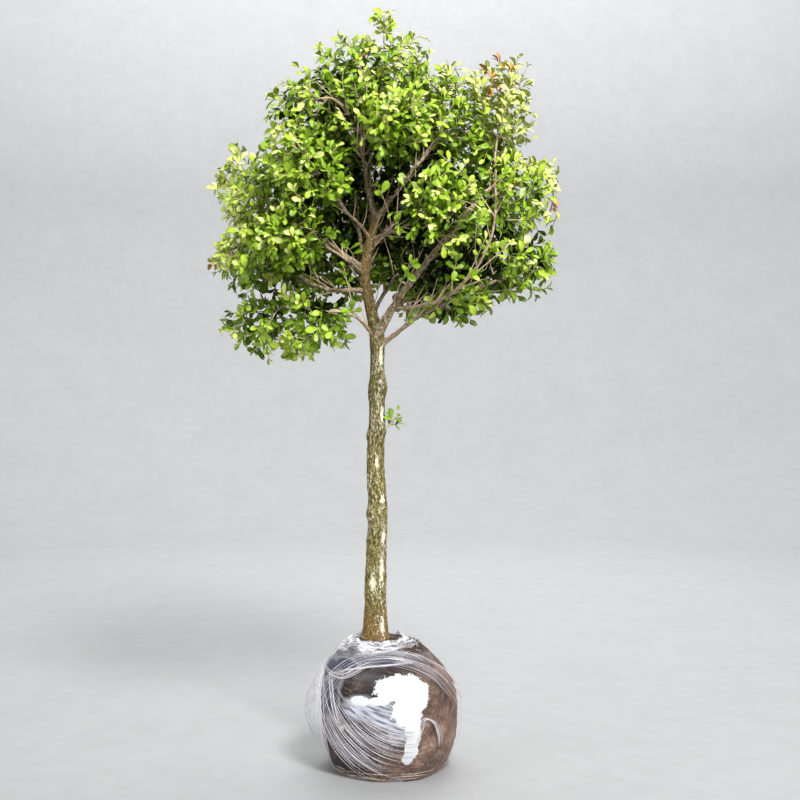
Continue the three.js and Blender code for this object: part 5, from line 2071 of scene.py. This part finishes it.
    def twig_surface(self, twigs: list[Twig], rings: int, sides: int) -> Surface:
        """Twigs as tubes, their radius falling evenly and swelling at the joints."""
        share = np.linspace(0.0, 1.0, rings)
        at = np.array([twig.path.at(share) for twig in twigs])
        first, last = (np.array([twig.radius[k] for twig in twigs])[:, None] for k in (0, 1))
        joints = 1.0 + 0.18 * (np.arange(rings) % 2)
        return tubes(at, (first + (last - first) * share) * joints, sides)

    def leaf_finish(self, tint: Tint) -> PlainFinish:
        """The finish of leaves of one tint: darker at the edge, a painted shade, and paler along the rib."""
        base = np.array(tint.value)
        rib = base * 0.65 + np.array([0.5, 0.6, 0.25]) * 0.4 * (0.08 + base.max())
        coat, specular = GLOSS.get(tint, GLOSSY)
        return PlainFinish(
            f"leaf_{tint.name.lower()}", 0.42, 60.0, 0.14,
            colour=tint.value, coat=coat, coat_rough=0.28, specular=specular,
            rib=tuple(rib.tolist()),
            # The dark edge is painted shade along each leaf's rim.
            edge=tuple((base * 0.28).tolist()),
        )

    def twig_pieces(self) -> list[tuple[Object, str]]:
        """The twigs joined by kind, each piece with its slot."""
        sound = [twig for twig in self.twigs if twig.tint is not Tint.RUST]
        stout = [twig for twig in sound if twig.order in (Order.STEM, Order.SHOOT, Order.INNER)]
        fine = [twig for twig in sound if twig.order in (Order.FINE, Order.STRAY)]
        rusty = [twig for twig in self.twigs if twig.tint is Tint.RUST]
        woody = PlainFinish("twig_bark", 0.7, 500.0, 0.3, 0.4, colour=(0.64, 0.5, 0.32), specular=0.2)
        green = PlainFinish("green_twig", 0.6, 500.0, 0.3, 0.3, colour=(0.42, 0.4, 0.15), specular=0.25)
        rust = PlainFinish("rust_twig", 0.6, 500.0, 0.3, 0.3, colour=(0.62, 0.25, 0.055), specular=0.25)
        return [
            (self.twig_surface(stout, 13, 6).piece("shoots", woody.material()), "young_bark"),
            (self.twig_surface(fine, 6, 4).piece("twig_tips", green.material()), "young_bark"),
            (self.twig_surface(rusty, 13, 5).piece("rust_twigs", rust.material()), "young_bark"),
        ]

    def leaf_pieces(self) -> list[tuple[Object, str]]:
        """The leaves joined by tint, in parts of a bounded size, each piece with its slot."""
        columns = zip(*(vars(part).values() for part in self.leaves))
        leaves = Leaves(*(np.concatenate(rows) for rows in columns))
        LOG.info("%d twigs and %d leaves", len(self.twigs), len(leaves.length))
        made = []
        for k, tint in enumerate(Tint):
            slot = "foliage" if tint in (Tint.SHADE, Tint.DEEP, Tint.MID) else "bright_foliage"
            picked, material = np.flatnonzero(leaves.tint == k), self.leaf_finish(tint).material()
            for j, part in enumerate(np.array_split(picked, math.ceil(len(picked) / self.most))):
                surface = self.leaf_surface(leaves.picked(part), part)
                made.append((surface.piece(f"leaves_{tint.name.lower()}_{j + 1}", material, 50.0), slot))
        return made

    def build(self) -> None:
        """Grows every mass, leafs it out, and dresses its twigs and leaves."""
        grown = {name: self.grow(name) for name in MASSES}
        grown[""] = self.grow_inside()
        self.deal_tints(grown)
        for name, twigs in grown.items():
            self.leaf_out(twigs, name)
            self.twigs += twigs
        for thing, slot in self.twig_pieces() + self.leaf_pieces():
            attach(thing, "root")
            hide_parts(*MASSES)


def main() -> None:
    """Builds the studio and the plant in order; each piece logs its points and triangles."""
    logging.basicConfig(level=logging.INFO, format="%(message)s", stream=sys.stdout)
    Studio().build()
    RootBall().build()
    FilmWrap().build()
    boughs = Boughs(Trunk())
    boughs.build()
    Crown(boughs).build()
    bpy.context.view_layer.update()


if __name__ == "__main__":
    main()
